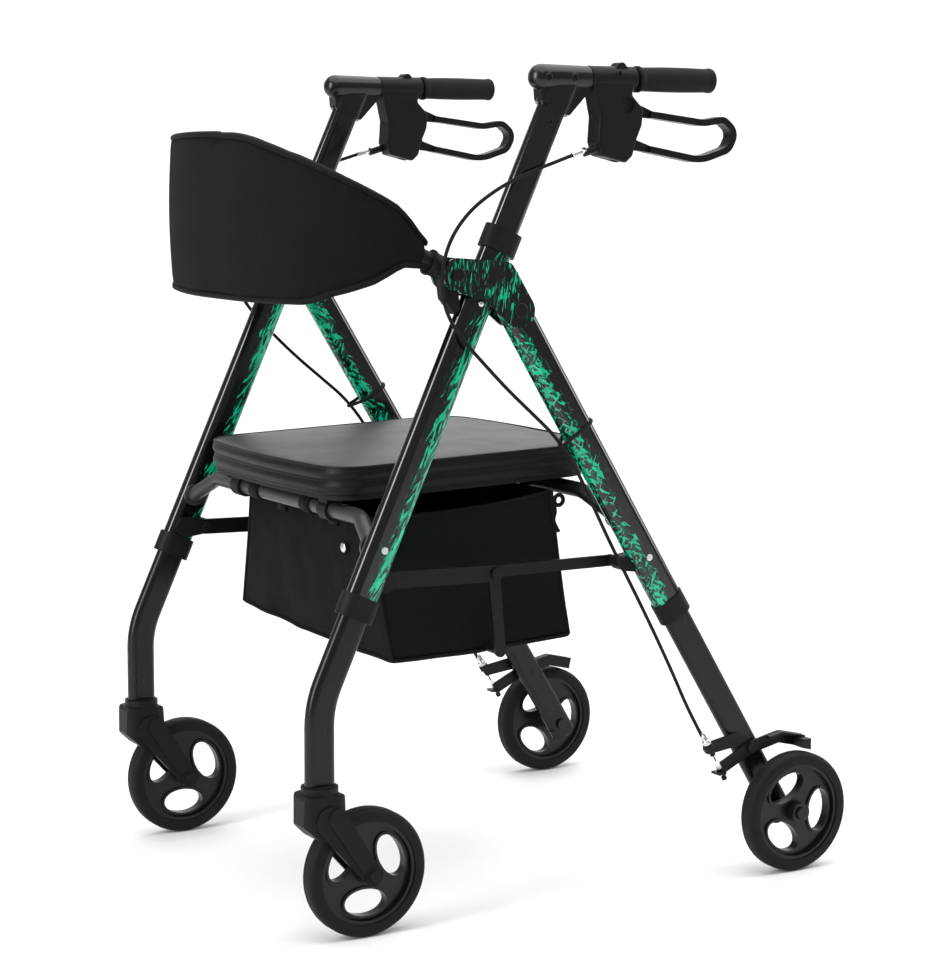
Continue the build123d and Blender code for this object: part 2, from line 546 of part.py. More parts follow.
def rear_axle():
    """Axle bolt through the lower leg, with its spacer and outer cap."""
    leg_in = LEG_X - TUBE_THICKNESS / 2
    leg_out = LEG_X + TUBE_THICKNESS / 2
    hub_in = REAR_WHEEL_X - REAR_HUB_WIDTH / 2
    hub_out = REAR_WHEEL_X + REAR_HUB_WIDTH / 2
    bolt = rod_x(AXLE_RADIUS, leg_in, hub_out + CLEAR, 0, WHEEL_RADIUS)
    bolt += rod_x(7.5, leg_in - 4, leg_in, 0, WHEEL_RADIUS)
    bolt += rod_x(9, leg_out, hub_in - CLEAR, 0, WHEEL_RADIUS)
    cap = rod_x(8, hub_out + CLEAR, hub_out + 4, 0, WHEEL_RADIUS)
    return bolt + fillet(cap.edges().sort_by(Axis.X)[-1:], 1.5)


def brake_pivot():
    """(y, z) of the brake arm's pivot, on the rear leg's axis."""
    along = (APEX_Z - BRAKE_PIVOT_Z) / cos(radians(REAR_TILT))
    return rear_point(along)


def brake_anchor():
    """Anchor on the lower leg that holds the cable's adjuster, and the arm's pivot bolt."""
    leg_out = LEG_X + TUBE_THICKNESS / 2
    y, z = brake_pivot()
    plate = slab(hull_of([(y, z, 10), (y - 20, z + 12, 9)]), leg_out, leg_out + 2)
    lug = slab(hull_of([(y - 20, z + 12, 9), (y - 62, z + 6, 8)]), leg_out, leg_out + 2)
    pin = rod_x(PIN_RADIUS - 1, leg_out - TUBE_THICKNESS, leg_out + 8, y, z)
    head = rod_x(6.5, leg_out + 2 + BRAKE_PLATE + 2 * CLEAR, leg_out + 9, y, z)
    run = Location((CABLE_END_X, y - 66, z + 9), (REAR_TILT - 2, 0, 0))
    clasp = run * Cylinder(6.5, 7) + Pos(leg_out + 3, y - 66, z + 8) * Box(6, 10, 8)
    clasp -= run * Cylinder(3.6, 40)
    adjuster = run * Cylinder(3.6, 26) + run * Pos(0, 0, 8) * Cylinder(5, 4)
    adjuster -= run * Pos(0, 0, 10) * Cylinder(CABLE_RADIUS, 12)
    wire = run * Pos(0, 0, -30) * Cylinder(0.9, 36) + run * Pos(0, 0, -49) * Cylinder(3.4, 4)
    anchor = plate + lug + pin + head + (clasp - slab(hull_of([(y - 20, z + 12, 1)]), 0, 1))
    return [anchor, adjuster + wire]


def brake_arm():
    """Bent channel: cable end in front, pedal and brake shoe over the wheel behind."""
    leg_out = LEG_X + TUBE_THICKNESS / 2
    low = leg_out + 2 + CLEAR
    y, z = brake_pivot()
    spine = FilletPolyline((y - 50, z - 24), (y, z), (y + 44, z + 9), (y + 79, z + 0.5),
                           radius=[30, 8])
    arm = slab(trace(Plane.XY * spine, BRAKE_FLANGE), low, low + BRAKE_PLATE)
    top = trace(Plane.XY * FilletPolyline((y + 24, z + 11.2), (y + 44, z + 15.3), (y + 79, z + 6.8),
                                          radius=6), BRAKE_PLATE)
    arm += slab(top, low, low + 12)
    toe = Pos(low + 4, y - 50, z - 26) * Box(16, 12, BRAKE_PLATE)
    reach = WHEEL_RADIUS + BRAKE_GAP
    shoe = Pos((low + REAR_WHEEL_X) / 2, y + 72, z - 1) * Box(REAR_WHEEL_X - low, 12, 16)
    shoe -= rod_x(reach, REAR_WHEEL_X - 30, REAR_WHEEL_X + 30, 0, WHEEL_RADIUS)
    arm += toe
    arm -= Location((CABLE_END_X, y - 66, z + 9), (REAR_TILT - 2, 0, 0)) * Cylinder(2.6, 100)
    arm += shoe
    arm -= rod_x(reach, low + BRAKE_PLATE, REAR_WHEEL_X + 30, 0, WHEEL_RADIUS)
    return arm - rod_x(PIN_RADIUS - 1 + RUNNING, low - 6, low + 12, y, z)


# Braces

def front_brace():
    """Wide flat bar from the front clip to the middle joint."""
    ends = [(BRACE_FRONT_Y, BRACE_FRONT_Z), (BRACE_MID_Y, BRACE_MID_Z)]
    bar = slab(hull_of([(*end, FRONT_BRACE_WIDTH / 2) for end in ends]),
               FRONT_BRACE_X, FRONT_BRACE_X + BRACE_THICKNESS)
    for end in ends:
        bar -= rod_x(PIN_RADIUS + RUNNING, LINK_X, LEG_IN_X, *end)
    return bar


def rear_brace():
    """Narrow flat bar from the rear clip to the middle joint."""
    ends = [(BRACE_REAR_Y, BRACE_REAR_Z), (BRACE_MID_Y, BRACE_MID_Z)]
    bar = slab(hull_of([(*end, REAR_BRACE_WIDTH / 2) for end in ends]),
               REAR_BRACE_X, REAR_BRACE_X + BRACE_THICKNESS)
    for end in ends:
        bar -= rod_x(PIN_RADIUS + RUNNING, REAR_BRACE_X - 1, LINK_X, *end)
    return bar


def under_bow():
    """Two hanging links with their bolts, joined by a rod under the bag."""
    link = slab(hull_of([(BRACE_MID_Y, BRACE_MID_Z, 8), (UNDER_BOW_Y, UNDER_BOW_Z, 7)]),
                LINK_X, LINK_X + BRACE_THICKNESS)
    head_x = FRONT_BRACE_X + BRACE_THICKNESS + CLEAR
    link += rod_x(PIN_RADIUS, LINK_X, head_x, BRACE_MID_Y, BRACE_MID_Z)
    link += rod_x(7, head_x, head_x + 3, BRACE_MID_Y, BRACE_MID_Z)
    link += rod_x(7, LINK_X - BRACE_NUT, LINK_X, BRACE_MID_Y, BRACE_MID_Z)
    rod = rod_x(UNDER_BOW_RADIUS, -LINK_X, LINK_X, UNDER_BOW_Y, UNDER_BOW_Z)
    return link + mirror(link, Plane.YZ) + rod


# Seat and bag

def seat_slab(inset, low, high):
    """Round-cornered slab above the front bow, with a gently bowed front and back."""
    front = SEAT_FRONT_Y - SEAT_BOW_Y + inset
    back = SEAT_BACK_Y - SEAT_BOW_Y - inset
    half = SEAT_WIDTH / 2 - inset
    sides = [Line((-half, front + 12), (-half, back - 20)),
             ThreePointArc((-half, back - 20), (0, back), (half, back - 20)),
             Line((half, back - 20), (half, front + 12)),
             ThreePointArc((half, front + 12), (0, front), (-half, front + 12))]
    face = make_face(Wire(sides))
    face = fillet(face.vertices(), SEAT_CORNER - inset)
    return Pos(0, 0, low) * extrude(face, high - low)


def seat_board():
    """Seat base with the two clips that turn on the front bow."""
    board = seat_slab(7, SEAT_LIFT, SEAT_LIFT + SEAT_BOARD_THICKNESS)
    for x in (-CLIP_X, CLIP_X):
        clip = rod_x(BOW_RADIUS + 4, x - 11, x + 11, 0, 0)
        clip += Pos(x, 0, SEAT_LIFT / 2 + 3) * Box(22, 20, SEAT_LIFT - 6)
        board += clip - rod_x(BOW_RADIUS + RUNNING, x - 11, x + 11, 0, 0)
    board = SEAT_AXIS * board
    foot_z = REAR_BOW_Z + BOW_RADIUS + CLEAR
    for x in (-CLIP_X, CLIP_X):
        board += Pos(x, REAR_BOW_Y, foot_z + 3) * Cylinder(9, 6)
    return board


def seat_cushion():
    """Padded seat, flat on top, with softened edges."""
    low = SEAT_LIFT + SEAT_BOARD_THICKNESS
    pad = seat_slab(0, low, low + SEAT_PAD_THICKNESS)
    pad = fillet(pad.edges().group_by(Axis.Z)[-1], 7)
    return SEAT_AXIS * pad


def bag():
    """Open-topped cloth bag with loops around the two seat bows."""
    height = BAG_RIM_Z - BAG_FLOOR_Z
    middle = (BAG_FRONT_Y + BAG_BACK_Y) / 2
    depth = BAG_BACK_Y - BAG_FRONT_Y
    outer = Pos(0, middle, BAG_FLOOR_Z + height / 2) * Box(BAG_WIDTH, depth, height)
    outer = fillet(outer.edges().filter_by(Axis.Z), 12)
    inner = Pos(0, middle, BAG_FLOOR_Z + CLOTH + height / 2) * Box(
        BAG_WIDTH - 2 * CLOTH, depth - 2 * CLOTH, height)
    body = outer - fillet(inner.edges().filter_by(Axis.Z), 12 - CLOTH)
    hold = BOW_RADIUS + CLEAR
    for x in (-LOOP_X, LOOP_X):
        for bow_y, bow_z, rim_y in ((SEAT_BOW_Y, SEAT_BOW_Z, BAG_FRONT_Y + CLOTH / 2),
                                    (REAR_BOW_Y, REAR_BOW_Z, BAG_BACK_Y - CLOTH / 2)):
            strap = hull_of([(bow_y, bow_z, hold + 2), (rim_y, BAG_RIM_Z - 16, CLOTH / 2)])
            strap -= hull_of([(bow_y, bow_z, hold), (rim_y, BAG_RIM_Z - 12, 0.1)])
            body += slab(strap, x - 12, x + 12)
    return body


# Backrest

def backrest_path():
    """Points and corner radii of the backrest tube's middle line."""
    rise = radians(SOCKET_RISE)
    start = SOCKET_DEPTH + 1
    corner_y = -566.0
    corner_z = SOCKET_Z + (SOCKET_Y - corner_y) * tan(rise)
    half = [(LEG_X, SOCKET_Y - start * cos(rise), SOCKET_Z + start * sin(rise)),
            (LEG_X, corner_y, corner_z), (187, -624, 818), (90, BACKREST_FRONT_Y, 822)]
    points = half + [(-x, y, z) for x, y, z in reversed(half)]
    return points, [120, 120, 500, 500, 120, 120]


def backrest_tube():
    """Bent tube whose ends plug into the two sockets."""
    points, radii = backrest_path()
    return bent_tube(points, radii, BACKREST_RADIUS, BACKREST_RADIUS - TUBE_WALL)


def backrest_band():
    """Padded sling around the tube, deep in the middle and narrow at its ends."""
    points, radii = backrest_path()
    line = FilletPolyline(*[(x, y) for x, y, z in points], radius=radii)
    inside = make_face(Wire(line.edges() + [Line(line @ 1, line @ 0)]))
    sling = offset(inside, BACKREST_RADIUS + BACKREST_PAD, kind=Kind.INTERSECTION) - inside
    band = Pos(0, 0, 700) * extrude(sling, 260)
    band &= slab(Polygon(*BAND_LOW_EDGE, *BAND_TOP_EDGE, align=None), -300, 300)
    sleeve = bent_tube(points, radii, BACKREST_RADIUS + BACKREST_PAD)
    band += sleeve & Pos(0, BAND_END_Y - 100, 800) * Box(600, 200, 200)
    end = SOCKET_MOUTH * Cylinder(24, 2 * SOCKET_REACH + 2)
    band -= end + mirror(end, Plane.YZ)
    return band - bent_tube(points, radii, BACKREST_RADIUS)


# Brake cables

# Above the apex the cable follows the handle: (x, and y and z as shares of its rise).
CABLE_UPPER = [(263.5, 0.5622, 0.609), (268, 0.391, 0.5558), (271, 0.1782, 0.4887),
               (272.5, -0.0255, 0.3984), (273.5, -0.1967, 0.2781), (274.5, -0.3124, 0.1208)]
CABLE_LOWER = [(275.5, -507, 757), (276, -501, 720), (276.5, -480, 690), (276, -450, 660),
               (274, -416, 628), (271, -380, 598), (267, -343, 567), (263.5, -313, 528),
               (262, -287, 480), (262, -260, 430), (263.5, -230, 377), (265.5, -200, 322),
               (268, -172, 267), (270.3, -149, 218), (271.5, -127.5, 181.5)]
CABLE_ROUTE = [(x, APEX_Y + back * HANDLE_RISE, APEX_Z + up * HANDLE_RISE)
               for x, back, up in CABLE_UPPER] + CABLE_LOWER


def arc_radii(points):
    """Largest even radius for each corner: 0.45 of its shorter run over tan(half turn)."""
    radii = []
    for before, corner, after in zip(points, points[1:], points[2:]):
        incoming = Vector(*corner) - Vector(*before)
        outgoing = Vector(*after) - Vector(*corner)
        turn = radians(incoming.get_angle(outgoing))
        radii.append(0.45 * min(incoming.length, outgoing.length) / tan(turn / 2))
    return radii


def brake_cable():
    """Whole cable from the lever housing to the adjuster at the rear wheel."""
    radii = arc_radii(CABLE_ROUTE)
    cable = bent_tube(CABLE_ROUTE, radii, CABLE_RADIUS)
    length = FilletPolyline(*CABLE_ROUTE, radius=radii).length
    section = pi * CABLE_RADIUS ** 2
    print("cable radii", [round(radius) for radius in radii])
    print("cable length", round(length, 1), "volume ratio", round(cable.volume / (section * length), 4))
    return cable


def snap_button(y, z):
    """Round release button in the outer wall of a leg."""
    button = rod_x(BUTTON_RADIUS, LEG_X + TUBE_THICKNESS / 2 + SLIDE_GAP, LEG_OUT_X + 2, y, z)
    return fillet(button.edges().sort_by(Axis.X)[-1:], 1)


def at_axle(shape, y):
    """Move a wheel piece, drawn about the X axis, to its axle."""
    return Pos(0, y, WHEEL_RADIUS) * shape


def side_pieces():
    """Pieces of the left-hand side; the right-hand side mirrors them."""
    tube = handle_tube()
    screws = handle_screws()
    return {
        "front_leg": front_leg(),
        "frame_bracket": bracket(),
        "handle_tube": tube - screws,
        "handle_knuckle": knuckle(tube) - screws,
        "brake_housing": brake_housing() - screws,
        "handle_screws": screws,
        "brake_lever": brake_lever(),
        "hand_grip": grip(),
        "front_lower_leg": front_lower_leg(),
        "caster_fork": caster_fork(),
        "front_wheel": at_axle(wheel(LEG_X, FORK_GAP - 2, 27), -WHEELBASE),
        "front_tyre": at_axle(tyre(LEG_X), -WHEELBASE),
        "rear_leg": rear_leg(),
        "rear_lower_leg": rear_lower_leg(),
        "rear_axle": rear_axle(),
        "brake_anchor": brake_anchor(),
        "brake_arm": brake_arm(),
        "rear_wheel": at_axle(wheel(REAR_WHEEL_X, REAR_HUB_WIDTH, -4), 0),
        "rear_tyre": at_axle(tyre(REAR_WHEEL_X), 0),
        "brake_cable": brake_cable(),
        "snap_button_front": snap_button(*front_point(FRONT_BUTTON_DROP)),
        "snap_button_rear": snap_button(*rear_point(REAR_BUTTON_DROP)),
    }


def paired_pieces():
    """Left-hand pieces that share one node with their mirror images."""
    front_clip_at = front_point(BRACE_CLIP_ALONG)
    rear_clip_at = rear_point((APEX_Z - BRACE_REAR_Z) / cos(radians(REAR_TILT)))
    front_inner = FRONT_BRACE_X + BRACE_THICKNESS + CLEAR
    return {
        "frame_bolts": bracket_bolts(),
        "front_collars": [collar(FRONT_AXIS, -FRONT_LEG_LENGTH, -1, COLLAR_WALL),
                          collar(FRONT_AXIS, FRONT_LEG_TOP, 1, COLLAR_WALL)],
        "rear_collars": collar(REAR_AXIS, -REAR_LEG_END, -1, REAR_COLLAR_WALL),
        "backrest_sockets": backrest_socket(),
        "brace_clips_front": brace_clip(FRONT_AXIS, front_clip_at,
                                        (BRACE_FRONT_Y, BRACE_FRONT_Z),
                                        front_inner, FRONT_BRACE_X, 10),
        "brace_clips_rear": brace_clip(REAR_AXIS, rear_clip_at, (BRACE_REAR_Y, BRACE_REAR_Z),
                                       front_inner - 4, REAR_BRACE_X, 9),
        "front_braces": front_brace(),
        "rear_braces": rear_brace(),
    }


def single_pieces():
    """Pieces that cross the middle of the walker."""
    front_lean = tan(radians(FRONT_TILT))
    rear_lean = -tan(radians(REAR_TILT))
    front_foot = front_point((APEX_Z - SEAT_BOW_Z + BOW_DROP) / cos(radians(FRONT_TILT)))
    rear_foot = rear_point((APEX_Z - REAR_BOW_Z + BOW_DROP) / cos(radians(REAR_TILT)))
    return {
        "seat_bow_front": seat_bow(SEAT_BOW_Y, SEAT_BOW_Z, front_foot, front_lean),
        "seat_bow_rear": seat_bow(REAR_BOW_Y, REAR_BOW_Z, rear_foot, rear_lean),
        "under_bow": under_bow(),
        "seat_board": seat_board(),
        "seat_cushion": seat_cushion(),
        "bag": bag(),
        "backrest_tube": backrest_tube(),
        "backrest_band": backrest_band(),
    }


def as_list(shape):
    return shape if isinstance(shape, list) else [shape]


def write(node, solids):
    """Export one node, moved so that the walker's bottom centre is the origin."""
    moved = [Pos(0, -ORIGIN_Y, 0) * solid for solid in solids]
    shape = moved[0] if len(moved) == 1 else Compound(children=moved)
    export_step(shape, f"parts/{node}.step")


def main():
    os.makedirs("parts", exist_ok=True)
    for name, shape in side_pieces().items():
        write(f"{name}_left", as_list(shape))
        write(f"{name}_right", [mirror(solid, Plane.YZ) for solid in as_list(shape)])
    for name, shape in paired_pieces().items():
        write(name, as_list(shape) + [mirror(solid, Plane.YZ) for solid in as_list(shape)])
    for name, shape in single_pieces().items():
        write(name, as_list(shape))
    print("origin y", round(ORIGIN_Y, 3), "rear tilt", round(REAR_TILT, 3))


main()
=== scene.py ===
# %% [markdown]
# # A folding rollator walker
#
# The walker is a pair of A-shaped side frames on four wheels, with a seat, a cloth bag under it,
# a padded backrest band and two hand brakes. The CAD model already holds every rigid piece at its
# real size, so this lesson does three things: it gives each piece its finish, it rebuilds the soft
# goods and the cables as what they really are, and it lights the result. Everything is in metres.

from math import atan2, cos, pi, radians, sin

import bmesh
import bpy
from mathutils import Matrix, Vector, noise


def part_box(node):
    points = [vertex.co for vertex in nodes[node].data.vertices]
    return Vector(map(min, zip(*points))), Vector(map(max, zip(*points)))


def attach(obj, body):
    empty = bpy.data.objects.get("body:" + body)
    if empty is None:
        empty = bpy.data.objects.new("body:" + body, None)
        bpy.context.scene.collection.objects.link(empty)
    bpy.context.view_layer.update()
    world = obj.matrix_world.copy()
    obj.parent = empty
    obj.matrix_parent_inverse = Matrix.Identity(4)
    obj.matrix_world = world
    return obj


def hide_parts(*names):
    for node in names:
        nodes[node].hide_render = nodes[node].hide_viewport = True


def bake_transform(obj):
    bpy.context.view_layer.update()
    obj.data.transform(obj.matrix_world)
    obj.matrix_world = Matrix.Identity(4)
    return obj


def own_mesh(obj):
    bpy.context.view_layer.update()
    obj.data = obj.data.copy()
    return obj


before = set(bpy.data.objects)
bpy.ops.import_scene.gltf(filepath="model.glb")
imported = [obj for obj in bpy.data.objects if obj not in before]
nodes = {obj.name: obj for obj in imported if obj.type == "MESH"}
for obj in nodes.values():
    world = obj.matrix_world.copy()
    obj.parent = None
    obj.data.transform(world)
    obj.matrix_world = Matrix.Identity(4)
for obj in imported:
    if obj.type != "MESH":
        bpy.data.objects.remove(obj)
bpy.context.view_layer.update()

# %% [markdown]
# ## Measuring from the rear axle
#
# The side frames, bows and braces were all laid out from the rear axle and the floor. It is easier
# to place trim in those same terms than in the part's own, so `at` turns millimetres from the rear
# axle into a place in the scene.

# %% A place measured from the rear axle
SIDES = (("left", 1), ("right", -1))


def middle(node):
    """Centre of a CAD node's box."""
    low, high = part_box(node)
    return (low + high) / 2


AXLE_Y = middle("rear_axle_left").y
LEG_X = middle("front_leg_left").x


def at(x, y, z):
    """A place given in millimetres from the middle of the rear axle's line and the floor."""
    return Vector((x / 1000, AXLE_Y + y / 1000, z / 1000))


print("rear axle at y", round(AXLE_Y, 4), "legs at x", round(LEG_X, 4))

# %% [markdown]
# ## Finishes
#
# Real surfaces are never one number. Each finish below starts from one Principled shader, and then
# gets noise in its colour, in its roughness and in its height, at the size that the real material
# has: a moulded texture is about half a millimetre, a woven thread about one.

# %% A shader with a few handles
class Finish:
    """A material's node tree with short ways to add textures to it."""

    def __init__(self, name, colour, roughness, metallic=0.0, coat=0.0, sheen=0.0, specular=0.14):
        self.material = bpy.data.materials.new(name)
        self.material.use_nodes = True
        self.tree = self.material.node_tree
        self.shader = self.tree.nodes["Principled BSDF"]
        self.shader.inputs["Base Color"].default_value = (*colour, 1)
        self.shader.inputs["Roughness"].default_value = roughness
        self.shader.inputs["Metallic"].default_value = metallic
        self.shader.inputs["Coat Weight"].default_value = coat
        self.shader.inputs["Coat Roughness"].default_value = 0.08
        self.shader.inputs["Specular IOR Level"].default_value = specular
        self.shader.inputs["Sheen Weight"].default_value = sheen
        self.shader.inputs["Sheen Roughness"].default_value = 0.4
        self.place = self.node("ShaderNodeTexCoord").outputs["Object"]

    def node(self, kind, **settings):
        made = self.tree.nodes.new(kind)
        for key, value in settings.items():
            setattr(made, key, value)
        return made

    def link(self, source, target):
        self.tree.links.new(source, target)

    def stretched(self, turn, scale):
        """Object coordinates turned about X and then scaled, for grain with a direction."""
        turned = self.node("ShaderNodeMapping")
        turned.inputs["Rotation"].default_value = (turn, 0, 0)
        self.link(self.place, turned.inputs["Vector"])
        scaled = self.node("ShaderNodeMapping")
        scaled.inputs["Scale"].default_value = scale
        self.link(turned.outputs["Vector"], scaled.inputs["Vector"])
        return scaled.outputs["Vector"]

    def noise(self, scale, detail=3.0, rough=0.5, place=None, distortion=0.0):
        texture = self.node("ShaderNodeTexNoise")
        texture.inputs["Scale"].default_value = scale
        texture.inputs["Detail"].default_value = detail
        texture.inputs["Roughness"].default_value = rough
        texture.inputs["Distortion"].default_value = distortion
        self.link(place or self.place, texture.inputs["Vector"])
        return texture.outputs["Fac"]

    def ramp(self, value, stops):
        """Colour ramp; stops are (position, colour)."""
        made = self.node("ShaderNodeValToRGB")
        elements = made.color_ramp.elements
        while len(elements) < len(stops):
            elements.new(0.5)
        for element, (position, colour) in zip(elements, stops):
            element.position = position
            element.color = (*colour, 1)
        self.link(value, made.inputs["Fac"])
        return made.outputs["Color"]

    def mix(self, factor, first, second):
        made = self.node("ShaderNodeMix", data_type="RGBA")
        self.link(factor, made.inputs["Factor"])
        for socket, value in (("A", first), ("B", second)):
            target = [i for i in made.inputs if i.name == socket and i.type == "RGBA"][0]
            if isinstance(value, tuple):
                target.default_value = (*value, 1)
            else:
                self.link(value, target)
        return [o for o in made.outputs if o.type == "RGBA"][0]

    def math(self, operation, first, second):
        made = self.node("ShaderNodeMath", operation=operation)
        for socket, value in zip(made.inputs, (first, second)):
            if isinstance(value, (int, float)):
                socket.default_value = value
            else:
                self.link(value, socket)
        return made.outputs["Value"]

    def spread(self, value, low, high):
        """Maps 0..1 to low..high."""
        made = self.node("ShaderNodeMapRange")
        made.inputs["To Min"].default_value = low
        made.inputs["To Max"].default_value = high
        self.link(value, made.inputs["Value"])
        return made.outputs["Result"]

    def colour(self, value):
        self.link(value, self.shader.inputs["Base Color"])

    def roughness(self, value):
        self.link(value, self.shader.inputs["Roughness"])

    def bump(self, height, distance, strength=0.5):
        made = self.node("ShaderNodeBump")
        made.inputs["Distance"].default_value = distance
        made.inputs["Strength"].default_value = strength
        self.link(height, made.inputs["Height"])
        previous = self.shader.inputs["Normal"]
        if previous.is_linked:
            self.link(previous.links[0].from_socket, made.inputs["Normal"])
        self.link(made.outputs["Normal"], previous)


# %% [markdown]
# ## The patterned legs
#
# The upper legs and the hinge brackets carry a printed film: glossy black with short emerald blades
# like grass. A picture wrapped round the tube would do, but it would need a seam. Noise in the
# walker's own space has none: stretched along one direction it gives a layer of blades, and two
# layers with different leans cross like leaves. The green gathers towards one edge of each leg and
# leaves the other nearly black, so the cover also follows the distance across the leg.

# %% Colours and leans of the film
BLACK = (0.0035, 0.0035, 0.004)
EMERALD = (0.0, 0.6, 0.3)
MID_GREEN = (0.0, 0.26, 0.14)
DEEP_GREEN = (0.0, 0.06, 0.04)
APEX = at(0, -430.5, 770.9)  # where the middle lines of a front and a rear leg meet
FRONT_LEAN, REAR_LEAN = radians(24.4), radians(-31.8)
print("the legs meet at", tuple(round(value, 4) for value in APEX))


# %% Torn blades, and a fade across the leg
def blades(film, lean, width, aspect, level):
    """Mask of torn blades: lean turns them about X, aspect is length over width."""
    grain = film.stretched(lean, (1 / width, 1 / width, 1 / (aspect * width)))
    field = film.noise(1.0, 1.6, 0.5, grain, 0.3)
    return film.ramp(film.math("ADD", field, level), [(0.59, (0, 0, 0)), (0.62, (1, 1, 1))])


def across_leg(film, lean, start, end):
    """0 to 1 over the distances start to end across a leg, measured from its middle line."""
    turned_place = film.stretched(lean, (1, 1, 1))
    split = film.node("ShaderNodeSeparateXYZ")
    film.link(turned_place, split.inputs["Vector"])
    middle_line = APEX.y * cos(lean) - APEX.z * sin(lean)
    share = film.node("ShaderNodeMapRange")
    share.inputs["From Min"].default_value = middle_line + start
    share.inputs["From Max"].default_value = middle_line + end
    film.link(split.outputs["Y"], share.inputs["Value"])
    return share.outputs["Result"]


# %% The streaked film, for the front legs, the rear legs and the brackets
PATCHINESS = 0.17
FADE_START, FADE_END = -0.007, 0.013
GREEN_SIDE, BLACK_SIDE = 0.07, -0.26


def streaked_film(name, lean, layers, edge, cover=0.0):
    """Glossy black film; layers are (lean, width, aspect), edge is the leg's black side in y."""
    film = Finish(name, BLACK, 0.16, coat=0.25, specular=0.4)
    patches = film.spread(film.noise(20.0, 2.0, 0.5), -PATCHINESS + cover, PATCHINESS + cover)
    if edge:
        place = across_leg(film, lean, FADE_START * edge, FADE_END * edge)
        patches = film.math("ADD", patches, film.spread(place, GREEN_SIDE, BLACK_SIDE))
    first = blades(film, *layers[0], patches)
    second = blades(film, *layers[1], film.math("ADD", patches, -0.02))
    dark = blades(film, lean, 0.0024, 6, film.math("ADD", patches, 0.04))
    tone = film.noise(1.0, 2.0, 0.5, film.stretched(lean, (300, 300, 60)))
    green = film.mix(film.spread(tone, -0.6, 1.8), MID_GREEN, EMERALD)
    base = film.mix(dark, BLACK, DEEP_GREEN)
    film.colour(film.mix(first, film.mix(second, base, green), green))
    film.roughness(film.spread(film.noise(40.0), 0.1, 0.18))
    return film.material


front_film = streaked_film("front_leg_film", FRONT_LEAN,
                           ((FRONT_LEAN + radians(15), 0.0036, 6),
                            (FRONT_LEAN - radians(3), 0.0034, 8)), -1, -0.01)
rear_film = streaked_film("rear_leg_film", REAR_LEAN,
                          ((REAR_LEAN - radians(32), 0.0042, 3.6),
                           (REAR_LEAN + radians(50), 0.0040, 3.2)), 1, -0.035)
bracket_film = streaked_film("bracket_film", radians(4),
                             ((radians(10), 0.0026, 7), (radians(-5), 0.0034, 5)), 0, -0.04)
print("films:", front_film.name, rear_film.name, bracket_film.name)

# %% [markdown]
# ## Painted tube, plastic, steel and rubber
#
# The other rigid finishes are plain ones, so what makes them look real is small: a faint orange
# peel in paint, a spark-eroded grain in moulded plastic, long brush marks in plated steel, and a
# dusty bloom on rubber. Most of them are near black, and it is the gloss that tells them apart.

# %% Paint, plastic, plating and rubber
def painted_tube(name, colour, roughness, coat, specular=0.2):
    paint = Finish(name, colour, roughness, coat=coat, specular=specular)
    paint.bump(paint.noise(260.0, 2.0), 0.0002, 0.15)
    paint.roughness(paint.spread(paint.noise(30.0), roughness - 0.05, roughness + 0.06))
    return paint.material


def moulded(name, colour, roughness, grain=1500.0, depth=0.00025, specular=0.14):
    plastic = Finish(name, colour, roughness, specular=specular)
    lighter = tuple(channel * 1.5 + 0.002 for channel in colour)
    plastic.colour(plastic.mix(plastic.noise(35.0, 4.0), colour, lighter))
    plastic.bump(plastic.noise(grain, 2.0), depth, 0.5)
    plastic.roughness(plastic.spread(plastic.noise(50.0, 4.0), roughness - 0.07, roughness + 0.08))
    return plastic.material


def plated(name, colour, roughness):
    metal = Finish(name, colour, roughness, metallic=1.0)
    brushed = metal.noise(1.0, 3.0, 0.6, metal.stretched(0, (60, 900, 900)))
    metal.roughness(metal.spread(brushed, roughness - 0.08, roughness + 0.12))
    metal.bump(brushed, 0.0001, 0.2)
    return metal.material


def rolled_rubber(name, colour):
    rubber = Finish(name, colour, 0.62)
    dusty = tuple(channel * 2.0 + 0.002 for channel in colour)
    rubber.colour(rubber.mix(rubber.noise(45.0, 6.0, 0.65), colour, dusty))
    rubber.bump(rubber.noise(900.0, 3.0), 0.0003, 0.4)
    return rubber.material


# %% The rigid finishes
handle_paint = painted_tube("gloss_black_paint", (0.0025, 0.0025, 0.003), 0.1, 0.4, 0.5)
leg_paint = painted_tube("satin_black_paint", (0.0045, 0.0045, 0.005), 0.28, 0.05, 0.25)
bow_paint = painted_tube("grey_paint", (0.03, 0.03, 0.033), 0.36, 0.05, 0.35)
steel_paint = painted_tube("black_powder_coat", (0.005, 0.005, 0.0055), 0.4, 0.0)
lever_paint = painted_tube("lever_paint", (0.005, 0.005, 0.0055), 0.34, 0.0)
frame_plastic = moulded("frame_plastic", (0.005, 0.005, 0.0055), 0.5)
housing_plastic = moulded("housing_plastic", (0.0045, 0.0045, 0.005), 0.42, 1100.0, 0.0004)
wheel_plastic = moulded("wheel_plastic", (0.0048, 0.005, 0.005), 0.32, 1800.0, 0.0001, 0.28)
knuckle_plastic = moulded("knuckle_plastic", (0.0035, 0.0035, 0.004), 0.24, 1500.0, 0.0001, 0.4)
white_plastic = moulded("white_plastic", (0.72, 0.72, 0.7), 0.35)
bolt_black = plated("blackened_steel", (0.03, 0.03, 0.032), 0.3)
bright_steel = plated("plated_steel", (0.68, 0.68, 0.67), 0.26)
tyre_rubber = rolled_rubber("tyre_rubber", (0.005, 0.005, 0.0052))
jacket_rubber = rolled_rubber("cable_jacket", (0.004, 0.004, 0.004))
print("materials so far:", len(bpy.data.materials))

# %% [markdown]
# ## Cloth and vinyl
#
# The bag and the band are woven nylon. Their bump is three waves, one along each axis, so that any
# wall shows the two that cross it as warp and weft, and no wall has to be unwrapped. The seat is
# grained vinyl, whose cells come from a Voronoi texture: the distance to the nearest edge makes the
# fine creases between them.

